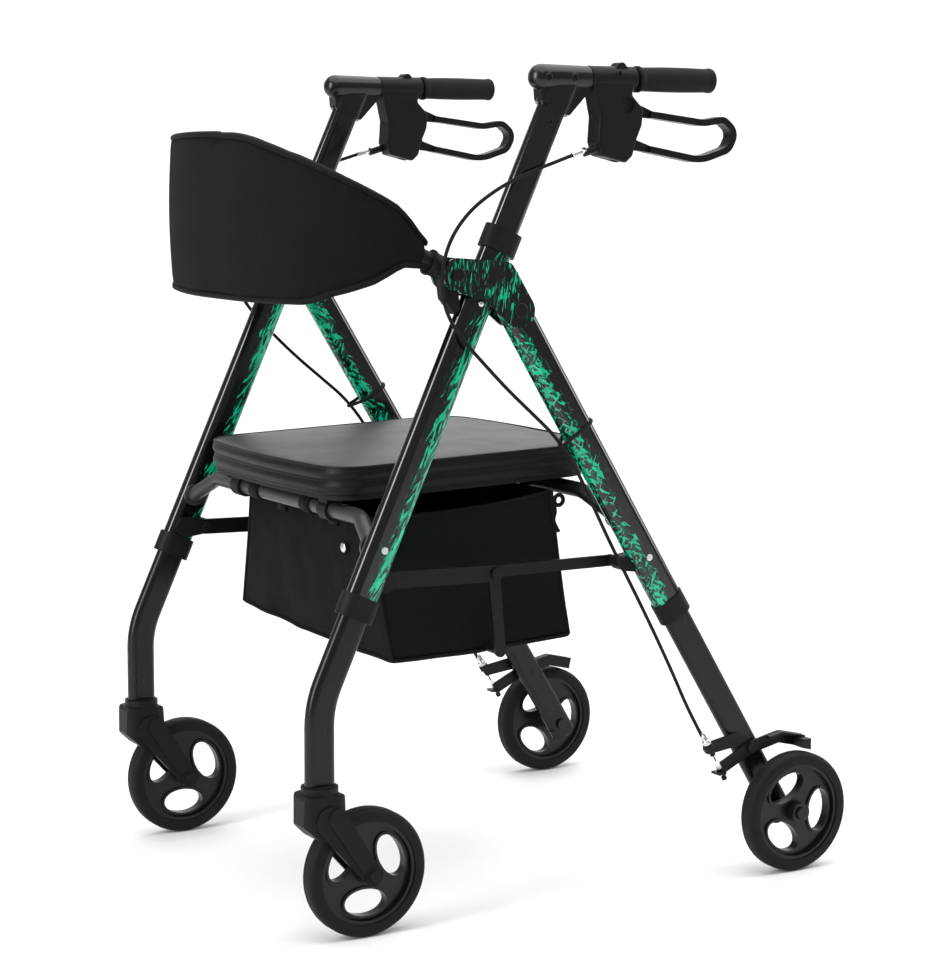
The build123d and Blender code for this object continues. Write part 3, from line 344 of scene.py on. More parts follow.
# %% Woven cloth and grained vinyl
def woven(name, colour, threads, roughness=0.85):
    cloth = Finish(name, colour, roughness, sheen=0.01, specular=0.08)
    height = None
    for axis in ("X", "Y", "Z"):
        wave = cloth.node("ShaderNodeTexWave", bands_direction=axis)
        wave.inputs["Scale"].default_value = threads
        wave.inputs["Distortion"].default_value = 0.6
        wave.inputs["Detail"].default_value = 1.0
        cloth.link(cloth.place, wave.inputs["Vector"])
        threads_here = wave.outputs["Fac"]
        height = threads_here if height is None else cloth.math("ADD", height, threads_here)
    worn = cloth.noise(14.0, 5.0, 0.6)
    lighter = tuple(channel * 1.6 + 0.001 for channel in colour)
    cloth.colour(cloth.mix(worn, colour, lighter))
    cloth.bump(height, 0.0003, 0.35)
    cloth.bump(cloth.noise(24.0, 3.0), 0.004, 0.25)
    return cloth.material


def grained_vinyl(name, colour, specular):
    vinyl = Finish(name, colour, 0.42, specular=specular)
    cells = vinyl.node("ShaderNodeTexVoronoi", feature="DISTANCE_TO_EDGE")
    cells.inputs["Scale"].default_value = 420.0
    vinyl.link(vinyl.place, cells.inputs["Vector"])
    vinyl.bump(cells.outputs["Distance"], 0.0004, 0.35)
    vinyl.bump(vinyl.noise(18.0, 2.0), 0.002, 0.15)
    vinyl.roughness(vinyl.spread(vinyl.noise(25.0, 4.0), 0.36, 0.5))
    return vinyl.material


# %% The soft finishes
bag_cloth = woven("bag_cloth", (0.0045, 0.0048, 0.005), 260.0)
band_cloth = woven("band_cloth", (0.0042, 0.0043, 0.0045), 420.0)
strap_webbing = woven("strap_webbing", (0.005, 0.005, 0.0054), 190.0, 0.7)
# The top is the same vinyl as the sides, but its colour is twice theirs: a painted sheen from the
# overhead light, along with its higher specular.
seat_vinyl = grained_vinyl("seat_vinyl", (0.01, 0.01, 0.011), 0.55)
side_vinyl = grained_vinyl("side_vinyl", (0.005, 0.005, 0.0055), 0.15)
print("materials so far:", len(bpy.data.materials))

# %% [markdown]
# ## Dressing the CAD pieces
#
# Every rigid node keeps its CAD mesh and only changes its material. The film goes on the upper legs
# and brackets. Bolts, pins and buttons are nodes of their own, so two tables say it all.

# %% One finish for each rigid node
paired_finishes = {
    "front_leg": front_film,
    "rear_leg": rear_film,
    "frame_bracket": bracket_film,
    "handle_tube": handle_paint,
    "front_lower_leg": leg_paint,
    "rear_lower_leg": leg_paint,
    "handle_knuckle": knuckle_plastic,
    "brake_housing": housing_plastic,
    "brake_lever": lever_paint,
    "handle_screws": bolt_black,
    "caster_fork": frame_plastic,
    "front_wheel": wheel_plastic,
    "rear_wheel": wheel_plastic,
    "front_tyre": tyre_rubber,
    "rear_tyre": tyre_rubber,
    "rear_axle": bolt_black,
    "brake_anchor": steel_paint,
    "brake_arm": steel_paint,
    "snap_button_front": bright_steel,
    "snap_button_rear": bright_steel,
}
single_finishes = {
    "frame_bolts": bolt_black,
    "seat_bow_front": bow_paint,
    "seat_bow_rear": steel_paint,
    "front_collars": frame_plastic,
    "rear_collars": frame_plastic,
    "backrest_sockets": frame_plastic,
    "brace_clips_front": frame_plastic,
    "brace_clips_rear": frame_plastic,
    "front_braces": steel_paint,
    "rear_braces": steel_paint,
    "under_bow": steel_paint,
    "seat_board": frame_plastic,
    "backrest_tube": steel_paint,
}


def dress(node, material):
    mesh = nodes[node].data
    mesh.materials.clear()
    mesh.materials.append(material)


for name, material in paired_finishes.items():
    for side, _ in SIDES:
        dress(f"{name}_{side}", material)
for name, material in single_finishes.items():
    dress(name, material)
print("dressed", 2 * len(paired_finishes) + len(single_finishes), "nodes")

# %% [markdown]
# ## Making meshes
#
# Most of the trim is one of three forms: a skin lofted through rows of points, a profile turned
# about an axis, or a tube along a line. Each gets one helper, so the pieces themselves stay short.

# %% A skin through rows of points
def new_object(name, data, material):
    made = bpy.data.objects.new(name, data)
    bpy.context.scene.collection.objects.link(made)
    data.materials.append(material)
    return made


def loft(name, rows, material, closed=True, caps=True):
    """Skin through rows of points; closed joins each row's end to its start."""
    count = len(rows[0])
    points = [point for row in rows for point in row]
    last = count if closed else count - 1
    faces = [(r * count + i, r * count + (i + 1) % count,
              (r + 1) * count + (i + 1) % count, (r + 1) * count + i)
             for r in range(len(rows) - 1) for i in range(last)]
    if caps:
        faces.append(tuple(reversed(range(count))))
        faces.append(tuple(range(len(points) - count, len(points))))
    mesh = bpy.data.meshes.new(name)
    mesh.from_pydata([tuple(point) for point in points], [], faces)
    tidy = bmesh.new()
    tidy.from_mesh(mesh)
    bmesh.ops.recalc_face_normals(tidy, faces=tidy.faces)
    tidy.to_mesh(mesh)
    tidy.free()
    mesh.polygons.foreach_set("use_smooth", [True] * len(mesh.polygons))
    return new_object(name, mesh, material)


# %% Turned pieces and tubes
def turned(name, centre, axis, profile, material, segments=48):
    """Profile of (along, radius) pairs turned about an axis through centre."""
    axis = Vector(axis).normalized()
    side = axis.orthogonal().normalized()
    up = axis.cross(side)
    rows = [[centre + axis * along + radius * (side * cos(turn) + up * sin(turn))
             for turn in (2 * pi * i / segments for i in range(segments))]
            for along, radius in profile]
    return loft(name, rows, material)


def tube(name, points, radius, material, cyclic=False):
    """Round tube on a smooth line that follows its control points."""
    curve = bpy.data.curves.new(name, "CURVE")
    curve.dimensions = "3D"
    curve.bevel_depth = radius
    curve.bevel_resolution = 5
    curve.resolution_u = 8
    curve.use_fill_caps = not cyclic
    spline = curve.splines.new("NURBS")
    spline.points.add(len(points) - 1)
    for control, point in zip(spline.points, points):
        control.co = (*point, 1)
    spline.order_u = 3
    spline.use_endpoint_u = not cyclic
    spline.use_cyclic_u = cyclic
    return new_object(name, curve, material)


# %% Keeping what a modifier makes
def evaluated_mesh(piece):
    """A new mesh of what a curve or a piece with modifiers looks like."""
    bpy.context.view_layer.update()
    seen = piece.evaluated_get(bpy.context.evaluated_depsgraph_get())
    return bpy.data.meshes.new_from_object(seen)


def apply_modifiers(piece):
    """Replaces a mesh by what its modifiers make of it."""
    made = evaluated_mesh(piece)
    piece.modifiers.clear()
    piece.data = made
    return piece


def subdivide(piece):
    piece.modifiers.new("smooth", "SUBSURF").levels = 1
    return apply_modifiers(piece)


# %% [markdown]
# ## Stuffing a pad
#
# Foam under a cover pushes outwards until the cover stops it. Blender's cloth does the same with
# pressure and no gravity: a few frames are enough, and a cap keeps the pad within its real size.

# %% Cloth that swells a little
def swell(piece, voxel, pressure, cap, frames=18):
    """Voxel remesh, then cloth with inner pressure; no point moves further than cap."""
    remesh = piece.modifiers.new("even", "REMESH")
    remesh.mode = "VOXEL"
    remesh.voxel_size = voxel
    apply_modifiers(piece)
    start = [vertex.co.copy() for vertex in piece.data.vertices]
    cloth = piece.modifiers.new("cloth", "CLOTH")
    cloth.settings.use_pressure = True
    cloth.settings.uniform_pressure_force = pressure
    cloth.settings.effector_weights.gravity = 0
    cloth.settings.quality = 4
    cloth.point_cache.frame_end = frames
    for number in range(1, frames + 1):
        bpy.context.scene.frame_set(number)
    apply_modifiers(piece)
    bpy.context.scene.frame_set(1)
    for vertex, origin in zip(piece.data.vertices, start):
        step = vertex.co - origin
        if step.length > cap:
            vertex.co = origin + step.normalized() * cap
    piece.data.polygons.foreach_set("use_smooth", [True] * len(piece.data.polygons))
    return piece


# %% [markdown]
# ## The hand grips
#
# A grip is one soft moulding over the end of the handle tube: a slight palm swell, fine rings along
# it that keep a hand from slipping, and an almost square end with a small round edge. Turning a
# profile about the bar makes all of that in one piece.

# %% Ringed grips
GRIP_RADIUS = 0.0150
GRIP_EDGE = 0.0035
FLANGE_RISE = 0.0006
WAIST, PALM_SWELL, RING_HEIGHT = 0.0009, 0.0007, 0.00012
grip_low, grip_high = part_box("hand_grip_left")
GRIP_LENGTH = grip_high.y - grip_low.y
grip_rubber = rolled_rubber("grip_rubber", (0.0045, 0.0045, 0.0047))


def grip_profile(rings=26, bore=0.0112):
    """(along, radius) from the flange to the closed end."""
    flange = GRIP_RADIUS + FLANGE_RISE
    profile = [(0.0, bore), (0.0, flange), (0.004, flange), (0.005, GRIP_RADIUS - 0.0008)]
    first, last = 0.008, GRIP_LENGTH - 0.010
    steps = 4 * rings
    for i in range(steps + 1):
        share = i / steps
        crest = RING_HEIGHT * cos(pi * i / 2)
        palm = PALM_SWELL * sin(pi * share)
        profile.append((first + (last - first) * share, GRIP_RADIUS - WAIST + palm + crest))
    for turn in range(0, 91, 15):
        profile.append((GRIP_LENGTH - GRIP_EDGE + GRIP_EDGE * sin(radians(turn)),
                        GRIP_RADIUS - GRIP_EDGE * (1 - cos(radians(turn)))))
    return profile + [(GRIP_LENGTH, 0.0005)]


for side, sign in SIDES:
    low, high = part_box(f"hand_grip_{side}")
    start = Vector((sign * LEG_X, low.y, (low.z + high.z) / 2))
    grip = turned(f"grip_{side}", start, (0, 1, 0), grip_profile(), grip_rubber)
    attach(grip, f"handle_{side}")
    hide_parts(f"hand_grip_{side}")
print("grip length", round(GRIP_LENGTH, 4))

# %% [markdown]
# ## The seat
#
# The seat is a foam pad in a vinyl cover over a board. Its top is nearly flat and a little crowned,
# its sides are a boxed panel, and a piped seam runs round the top edge, the middle and the bottom.
# Its outline is a rounded square whose front and back bow outwards, and it tips forward a little.
# A rounded box would be quicker, but the panels between the seams each bulge by themselves, so the
# pad is lofted through one outline for each height, with its inset from the edge.

# %% The seat's outline
SEAT_WIDTH = 0.372
seat_low, seat_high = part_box("seat_cushion")
SEAT_DEPTH = seat_high.y - seat_low.y
SEAT_TILT = radians(1.7)
SEAT_CORNER = 0.046
BOW = 0.014


def seat_outline(inset, per_corner=9, per_side=12):
    """Outline points round the seat's own centre, at a distance inside its edge."""
    half_x, half_y = SEAT_WIDTH / 2 - inset, SEAT_DEPTH / 2 - inset
    radius = max(SEAT_CORNER - inset, 0.012)
    points = []
    corners = ((1, -1, -90), (1, 1, 0), (-1, 1, 90), (-1, -1, 180))
    for (sx, sy, start), (nx, ny, _) in zip(corners, corners[1:] + corners[:1]):
        for i in range(per_corner):
            turn = radians(start + 90 * i / (per_corner - 1))
            points.append((sx * (half_x - radius) + radius * cos(turn),
                           sy * (half_y - radius) + radius * sin(turn)))
        end = points[-1]
        begin = (nx * (half_x - radius) + radius * cos(radians(start + 90)),
                 ny * (half_y - radius) + radius * sin(radians(start + 90)))
        for i in range(1, per_side):
            share = i / per_side
            points.append((end[0] + (begin[0] - end[0]) * share,
                           end[1] + (begin[1] - end[1]) * share))
    bowed = []
    for x, y in points:
        pull = BOW * (x / half_x) ** 2 * (abs(y) / half_y)
        bowed.append((x, y - pull if y > 0 else y + pull))
    return bowed


SEAT_CENTRE = Vector((0, (seat_low.y + seat_high.y) / 2, seat_low.z))
SEAT_BACK_RISE = (seat_high.y - seat_low.y) * sin(SEAT_TILT)
SEAT_THICKNESS = seat_high.z - seat_low.z - SEAT_BACK_RISE
print("seat pad", SEAT_WIDTH, round(SEAT_DEPTH, 3), round(SEAT_THICKNESS, 4))


def on_seat(x, y, height):
    """A point on the tilted seat; height is above its underside."""
    rise = (y + SEAT_DEPTH / 2) * sin(SEAT_TILT)
    return SEAT_CENTRE + Vector((x, y, height + rise))


# %% Rows of the pad
LOW_SEAM, MIDDLE_SEAM = 0.003, 0.017
UPPER_PANEL_START = 0.018
PANEL_INSET = 0.0035
TOP_INSET, TOP_EDGE_DROP = 0.006, 0.0035
CROWN = 0.0033


def seat_row(inset, height):
    return [on_seat(x, y, height) for x, y in seat_outline(inset)]


def panel_rows(steps, start, rise, bulge):
    """Rows of one side panel between two seams, fullest half way up."""
    return [seat_row(PANEL_INSET - bulge * sin(pi * share), start + rise * share)
            for share in (i / steps for i in range(1, steps))]


def crowned_top(steps=7):
    """Rows from the top edge to the middle, rising to a low crown."""
    rows = []
    for i in range(1, steps + 1):
        share = i / steps
        rows.append([on_seat(x * (1 - share * 0.97), y * (1 - share * 0.97),
                             SEAT_THICKNESS - TOP_EDGE_DROP + CROWN * sin(share * pi / 2))
                     for x, y in seat_outline(TOP_INSET)])
    return rows


# %% The pad in its cover
pad_rows = [seat_row(0.02, 0.0), seat_row(0.004, 0.0), seat_row(0.0025, LOW_SEAM)]
pad_rows += panel_rows(6, LOW_SEAM, rise=0.013, bulge=0.002)
pad_rows.append(seat_row(0.0045, MIDDLE_SEAM))
pad_rows += panel_rows(8, UPPER_PANEL_START, rise=SEAT_THICKNESS - 0.024, bulge=0.0025)
pad_rows += [seat_row(0.003, SEAT_THICKNESS - 0.0055),
             seat_row(TOP_INSET, SEAT_THICKNESS - TOP_EDGE_DROP)]
pad_rows += crowned_top()
seat_pad = loft("seat_pad", pad_rows, seat_vinyl)
subdivide(seat_pad)
for vertex in seat_pad.data.vertices:
    low_wave = noise.noise(vertex.co * 14.0)
    vertex.co.z += 0.0008 * low_wave
seat_pad.data.materials.append(side_vinyl)
# Top faces take the lighter copy of the vinyl, whose extra lightness is painted sheen. The sides
# take the darker copy.
for face in seat_pad.data.polygons:
    rise = (face.center.y - SEAT_CENTRE.y + SEAT_DEPTH / 2) * sin(SEAT_TILT)
    face.material_index = int(face.center.z - SEAT_CENTRE.z - rise < SEAT_THICKNESS - 0.0052)
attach(seat_pad, "seat")
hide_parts("seat_cushion")
print("seat pad faces", len(seat_pad.data.polygons))

# %% Piping on its three seams
SEAT_PIPING = ((0.0038, SEAT_THICKNESS - 0.005, 0.0017), (0.0046, 0.0168, 0.0016),
               (0.0042, 0.0022, 0.0017))  # inset, height and radius of each cord

for number, (inset, height, radius) in enumerate(SEAT_PIPING):
    piping = tube(f"seat_piping_{number}", seat_row(inset, height), radius, side_vinyl, cyclic=True)
    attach(piping, "seat")
print("seat cords:", len(SEAT_PIPING))

# %% [markdown]
# ## The backrest band
#
# The band is a padded sling with the bent tube inside it. In plan it follows the tube, and its top
# and bottom edges fall away towards the ends. A flat strip could be bent by a curve modifier, but
# the edges need their own heights at every place. So a closed section is carried along the tube's
# line: the outside is smooth, and the inside bulges where the tube lies.

# %% The band's line in plan
BAND_CORNERS = [(256.5, -494.6), (256.5, -566), (187, -624), (90, -648)]
BAND_RADII = (120, 120, 500)
BAND_STEP = 0.008


def rounded_line(points, radii, step, arc_steps=24):
    """Even points along straight runs joined by arcs, in plan."""
    line = [Vector(points[0])]
    for before, corner, after, radius in zip(points, points[1:], points[2:], radii):
        corner = Vector(corner)
        back = (Vector(before) - corner).normalized()
        ahead = (Vector(after) - corner).normalized()
        half = back.angle(ahead) / 2
        reach = radius / (sin(half) / cos(half))
        centre = corner + (back + ahead).normalized() * (radius / sin(half))
        first, last = corner + back * reach, corner + ahead * reach
        a0 = atan2(first.y - centre.y, first.x - centre.x)
        a1 = atan2(last.y - centre.y, last.x - centre.x)
        turn = (a1 - a0 + pi) % (2 * pi) - pi
        line += [centre + radius * Vector((cos(angle), sin(angle)))
                 for angle in (a0 + turn * i / arc_steps for i in range(arc_steps + 1))]
    line.append(Vector(points[-1]))
    even, carried = [line[0]], 0.0
    for a, b in zip(line, line[1:]):
        run = (b - a).length
        while run > 0 and carried + run >= step:
            share = (step - carried) / run
            a = a + (b - a) * share
            even.append(a)
            run = (b - a).length
            carried = 0.0
        carried += run
    return even + [line[-1]]


band_plan = BAND_CORNERS + [(-x, y) for x, y in reversed(BAND_CORNERS)]
band_line = rounded_line([(x / 1000, AXLE_Y + y / 1000) for x, y in band_plan],
                         [r / 1000 for r in BAND_RADII + BAND_RADII[::-1]], BAND_STEP)
print("line of the band's tube, with its bare ends", round(BAND_STEP * len(band_line), 3))

# %% Heights of its edges and of the tube inside it
# Each edge is a list of stops, (y, height) in millimetres, from the band's end to its middle.
TOP_EDGE_LEFT = [(-514, 799), (-523, 806), (-530, 818), (-540, 831), (-549, 841), (-562, 850),
                 (-576, 859), (-596, 872), (-613, 884), (-623, 892), (-633, 901), (-641, 911),
                 (-646, 919), (-649, 924)]
TOP_EDGE_RIGHT = [(-514, 799), (-523, 806), (-530, 818), (-549, 842), (-566, 857), (-580, 872),
                  (-594, 890), (-604, 904), (-612, 914), (-620, 920), (-633, 922), (-649, 924)]
LOW_EDGE = [(-514, 770), (-530, 771), (-544, 772), (-557, 763), (-572, 753), (-593, 744),
            (-608, 738), (-616, 733), (-626, 728), (-649, 726)]


def edge_height(here, stops):
    """Height of a band edge over a point of the band's line, straight between its stops."""
    y = (here.y - AXLE_Y) * 1000
    for (y0, z0), (y1, z1) in zip(stops, stops[1:]):
        if y >= y1:
            share = min(1.0, max(0.0, (y0 - y) / (y0 - y1)))
            return (z0 + (z1 - z0) * share) / 1000
    return stops[-1][1] / 1000


def top_edge(here):
    """The band sits a little higher on its right corner, where it has crept up the tube."""
    return edge_height(here, TOP_EDGE_LEFT if here.x > 0 else TOP_EDGE_RIGHT)


def low_edge(here):
    return edge_height(here, LOW_EDGE)


TUBE_END_HEIGHT, TUBE_MIDDLE_HEIGHT = 769, 822  # in millimetres
TUBE_SLOPE = 0.45


def tube_height(y):
    """Height of the bent tube inside the band, which climbs from its ends to a level middle."""
    run = BAND_CORNERS[0][1] - (y - AXLE_Y) * 1000
    return min(TUBE_MIDDLE_HEIGHT, TUBE_END_HEIGHT + run * TUBE_SLOPE) / 1000


print("band edges at its middle", low_edge(Vector((0, -1))), top_edge(Vector((0, -1))))

# %% The padded sling
FACE_POINTS = 14
EDGE_ROUND = 0.004
EDGE_DEPTH = 0.006
OUTER_FACE, OUTER_PUFF = 0.0125, 0.0035
INNER_FACE = 0.001
TUBE_BULGE, TUBE_REACH = 0.0155, 0.026
BAND_START = AXLE_Y - 0.514


def band_outward(index):
    """Level direction from the person's back outwards, at one place on the band's line."""
    ahead = band_line[min(index + 1, len(band_line) - 1)] - band_line[max(index - 1, 0)]
    outward = Vector((ahead.y, -ahead.x, 0)).normalized()
    from_back = band_line[index] - Vector((0, AXLE_Y - 0.45))
    return outward if outward.xy.dot(from_back) > 0 else -outward


def sling_section(index):
    """Closed loop of points round the band at one place on its line."""
    here = band_line[index]
    outward = band_outward(index)
    top, low = top_edge(here), low_edge(here)
    lie = tube_height(here.y)
    points = []
    shares = [i / (FACE_POINTS - 1) for i in range(FACE_POINTS)]
    for share in shares:
        height = low + EDGE_ROUND + (top - low - 2 * EDGE_ROUND) * share
        puff = OUTER_PUFF * sin(pi * share)
        points.append((OUTER_FACE + puff - OUTER_PUFF, height))
    points.append((EDGE_DEPTH, top))
    for share in reversed(shares):
        height = low + EDGE_ROUND + (top - low - 2 * EDGE_ROUND) * share
        bulge = max(0.0, 1 - ((height - lie) / TUBE_REACH) ** 2)
        points.append((INNER_FACE - TUBE_BULGE * bulge ** 0.7, height))
    points.append((EDGE_DEPTH, low))
    return [Vector((here.x + outward.x * depth, here.y + outward.y * depth, height))
            for depth, height in points]


band_indices = [i for i, point in enumerate(band_line) if point.y < BAND_START]
band = loft("backrest_sling", [sling_section(i) for i in band_indices], band_cloth)
swell(band, voxel=0.005, pressure=3.0, cap=0.0025)
subdivide(band)
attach(band, "backrest")
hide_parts("backrest_band")
print("sling faces", len(band.data.polygons))

# %% [markdown]
# ## Bound edges
#
# A tape is folded over the band's top and bottom edges and sewn through. Its section is a slim oval
# that holds the edge, carried along the same line as the band.

# %% Tapes over the band's edges
TAPE_INSET = 0.0032
TAPE_MIDDLE = 0.0052
TAPE_HALF_DEPTH, TAPE_HALF_HEIGHT = 0.0064, 0.0042


def edge_tape(name, edge, inward):
    """Folded tape on one edge of the band; inward is the way from the edge into the band."""
    rows = []
    for index in band_indices:
        here = band_line[index]
        outward = band_outward(index)
        height = edge(here) + inward * TAPE_INSET
        rows.append([Vector((here.x, here.y, height))
                     + outward * (TAPE_MIDDLE + TAPE_HALF_DEPTH * cos(turn))
                     + Vector((0, 0, TAPE_HALF_HEIGHT * sin(turn)))
                     for turn in (2 * pi * i / 16 for i in range(16))])
    tape = loft(name, rows, strap_webbing)
    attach(tape, "backrest")


edge_tape("band_tape_top", top_edge, -1)
edge_tape("band_tape_low", low_edge, 1)
print("band length", round(BAND_STEP * len(band_indices), 3))

# %% [markdown]
# ## The bag
#
# The bag is one sewn box of nylon that hangs from the two bows. Its floor is wider than its rim, it
# sags most at the front corner that carries the load, and its walls belly out between stiff corner
# seams, with soft diagonal folds. Simulated cloth would drape well but drift from the bag's real
# outline, so lofted rings give the walls, and noise at two sizes gives the folds.

# %% Sizes of the bag
BAG_HALF_FRONT_RIM, BAG_HALF_BACK_RIM, BAG_HALF_FLOOR = 0.164, 0.184, 0.204
BACK_RISE = 0.018
BAG_FRONT = AXLE_Y - 0.538
BAG_BACK = AXLE_Y - 0.294
BAG_FLOOR = 0.317
BAG_RIM = 0.474
WALL = 0.0022
PER_SIDE = 30
FRONT_SPREAD, BACK_SPREAD = 0.007, 0.014  # how far the floor lies behind the rim, at each end
LEAST_SAG, CORNER_SAG, EDGE_SAG = 0.002, 0.009, 0.004
SIDE_DIP, FRONT_DIP = 0.007, 0.002
BELLY, RIM_TAUT = 0.007, 0.004
FOLD_DEPTH, CREASE_DEPTH = 0.005, 0.0022
FLOOR_DEPTH = BAG_BACK + BACK_SPREAD - BAG_FRONT - FRONT_SPREAD
print("bag floor", round(2 * BAG_HALF_FLOOR, 3), "by", round(FLOOR_DEPTH, 3))


# %% One ring of its wall
def bag_ring(share, inset=0.0):
    """Points round the bag; share is 0 at the floor and 1 at the rim."""
    down = (1 - share) ** 1.3
    front, back = BAG_FRONT + FRONT_SPREAD * down, BAG_BACK + BACK_SPREAD * down
    middle_y, half_y = (front + back) / 2, (back - front) / 2
    ring = []
    for side in range(4):
        for i in range(PER_SIDE):
            along = -1 + 2 * i / PER_SIDE
            x, y = ((along, -1), (1, along), (-along, 1), (-1, -along))[side]
            flat = 1 - along * along
            half_rim = BAG_HALF_FRONT_RIM + (BAG_HALF_BACK_RIM - BAG_HALF_FRONT_RIM) * (1 + y) / 2
            half_x = half_rim + (BAG_HALF_FLOOR - half_rim) * down
            load = ((1 + x) / 2 * (1 - y) / 2) ** 1.5
            sag = LEAST_SAG + CORNER_SAG * load + EDGE_SAG * flat
            dip = SIDE_DIP if side in (1, 3) else FRONT_DIP
            rim = BAG_RIM + BACK_RISE * (1 + y) / 2 - dip * flat
            height = (BAG_FLOOR - sag) + (rim - BAG_FLOOR + sag) * share
            belly = BELLY * sin(pi * share) * flat - RIM_TAUT * share * flat
            broad = noise.noise(Vector((x * 3.1, y * 2.6 - share * 1.5, share * 2.2)))
            fine = noise.noise(Vector((x * 9 + share * 4, y * 7, share * 6)))
            folds, creases = FOLD_DEPTH * broad, CREASE_DEPTH * fine
            out = Vector((x if abs(x) == 1 else 0, y if abs(y) == 1 else 0, 0))
            wall = Vector((x * (half_x - inset), middle_y + y * (half_y - inset), height))
            ring.append(wall + out * (belly + (folds + creases) * flat ** 0.5 - 0.001))
    return ring


# %% The bag's skin
def flatten_bag(piece):
    """Gives a piece of the bag a mesh of its own."""
    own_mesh(piece)


def soft_corner(ring, index):
    """Where a ring's corner ends up once the surface is subdivided."""
    before, after = ring[index - 1], ring[(index + 1) % len(ring)]
    return ring[index] * 0.76 + (before + after) * 0.12


WALL_ROWS = 16
outer_rows = [bag_ring(i / WALL_ROWS) for i in range(WALL_ROWS + 1)]
inner_rows = [bag_ring(i / WALL_ROWS, WALL) for i in range(WALL_ROWS + 1)]
floor_centre = Vector((0, (BAG_FRONT + BAG_BACK) / 2, BAG_FLOOR - 0.004))
floor_rows = [[floor_centre + (point - floor_centre) * shrink for point in outer_rows[0]]
              for shrink in (0.02, 0.35, 0.7, 0.97)]
bag_rows = floor_rows + outer_rows + inner_rows[::-1] + [
    [point + Vector((0, 0, WALL)) for point in row] for row in reversed(floor_rows)]
bag_shell = loft("bag_shell", bag_rows, bag_cloth)
subdivide(bag_shell)
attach(bag_shell, "front_frame")
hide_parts("bag")
flatten_bag(bag_shell)
print("bag faces", len(bag_shell.data.polygons))

# %% [markdown]
# ## Piping, loops and the snap
#
# The bag's seams are bound with a thin cord. Flat webbing loops carry it on the bows, a nickel snap
# on the front panel closes its flap, and a small ring with a loose cord end sits at each back
# corner. Cords are tubes on the same rings as the walls, so that they lie on the cloth. The back
# loops go with the rear bow, and the rest with the front frame.

# %% Seams of the bag
def bag_cord(name, line, radius, cyclic=False):
    """Round cord sewn to the bag, as a mesh of its own."""
    curve = tube(name, line, radius, strap_webbing, cyclic=cyclic)
    mesh = evaluated_mesh(curve)
    bpy.data.objects.remove(curve)
    mesh.materials.clear()
    seam = new_object(name, mesh, strap_webbing)
    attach(seam, "front_frame")
    flatten_bag(seam)


def ring_seam(label, ring, radius):
    line = [soft_corner(ring, i) if i % PER_SIDE == 0 else ring[i] for i in range(len(ring))]
    bag_cord(f"bag_binding_{label}", line, radius, cyclic=True)


ring_seam("floor", bag_ring(0.0), 0.0022)
ring_seam("rim", bag_ring(0.99, WALL / 2), 0.0026)
for number in range(4):
    line = [soft_corner(bag_ring(i / 12), number * PER_SIDE) for i in range(13)]
    bag_cord(f"bag_seam_{number}", line, 0.0024)
print("bag seams: floor, rim and", number + 1, "corners")

# %% Rings and cord ends at the back corners
HOOP_RADIUS = 0.0068
HOOP_OUT, HOOP_DOWN = 0.0085, 0.004
TAIL_STEPS = ((0.002, -0.009), (0.0045, -0.017), (0.001, -0.026), (0.003, -0.034), (0.009, -0.043))

for side, corner_index in (("left", 2 * PER_SIDE), ("right", 3 * PER_SIDE)):
    corner = bag_ring(0.95)[corner_index]
    hoop = [corner + Vector((0, HOOP_OUT + HOOP_RADIUS * cos(turn),
                             -HOOP_DOWN + HOOP_RADIUS * sin(turn)))
            for turn in (2 * pi * i / 8 for i in range(8))]
    bag_cord(f"bag_ring_{side}", hoop, 0.0026, cyclic=True)
    bag_cord(f"bag_tail_{side}", [corner + Vector((0, *step)) for step in TAIL_STEPS], 0.0023)
    print("ring on the bag's", side, "corner at", tuple(round(value, 3) for value in corner))

# %% Webbing loops round the bows
BOW_RADIUS = 0.0095
LOOP_WIDTH, LOOP_THICKNESS = 0.024, 0.0016
LOOP_TAIL = 0.022
LOOP_X = 0.070
WRAP_START, WRAP_TURN, WRAP_STEPS = radians(-75), radians(210), 14
FRONT_BOW = at(0, -568, 480)
REAR_BOW = at(0, -260, 491)


def webbing_loop(name, x, bow, rim):
    """Flat strap over a bow and down both sides to the bag's rim."""
    reach = BOW_RADIUS + 0.0012
    toward = -1 if rim.y < bow.y else 1
    path = [Vector((x, rim.y, rim.z - LOOP_TAIL)), Vector((x, rim.y, rim.z))]
    away = atan2(rim.z - bow.z, rim.y - bow.y)
    for i in range(WRAP_STEPS + 1):
        turn = away + toward * WRAP_START - toward * WRAP_TURN * i / WRAP_STEPS
        path.append(Vector((x, bow.y + reach * cos(turn), bow.z + reach * sin(turn))))
    path += [Vector((x, rim.y - toward * 0.003, rim.z - 0.002)),
             Vector((x, rim.y - toward * 0.002, rim.z - LOOP_TAIL))]
    rows = []
    for i, point in enumerate(path):
        ahead = (path[min(i + 1, len(path) - 1)] - path[max(i - 1, 0)]).normalized()
        normal = ahead.cross(Vector((1, 0, 0))).normalized() * LOOP_THICKNESS / 2
        rows.append([point + Vector((sx * LOOP_WIDTH / 2, 0, 0)) + normal * sn
                     for sx, sn in ((-1, -1), (1, -1), (1, 1), (-1, 1))])
    return loft(name, rows, strap_webbing)


for number, x in enumerate((-LOOP_X, LOOP_X)):
    for label, bow, rim_y, rim_z, body in (
            ("front", FRONT_BOW, BAG_FRONT + 0.002, BAG_RIM, "front_frame"),
            ("back", REAR_BOW, BAG_BACK - 0.002, BAG_RIM + 0.014, "rear_frame")):
        loop = webbing_loop(f"bag_loop_{label}_{number}", x, bow, Vector((x, rim_y, rim_z)))
        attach(loop, body)
print("webbing loops at x", -LOOP_X, "and", LOOP_X)

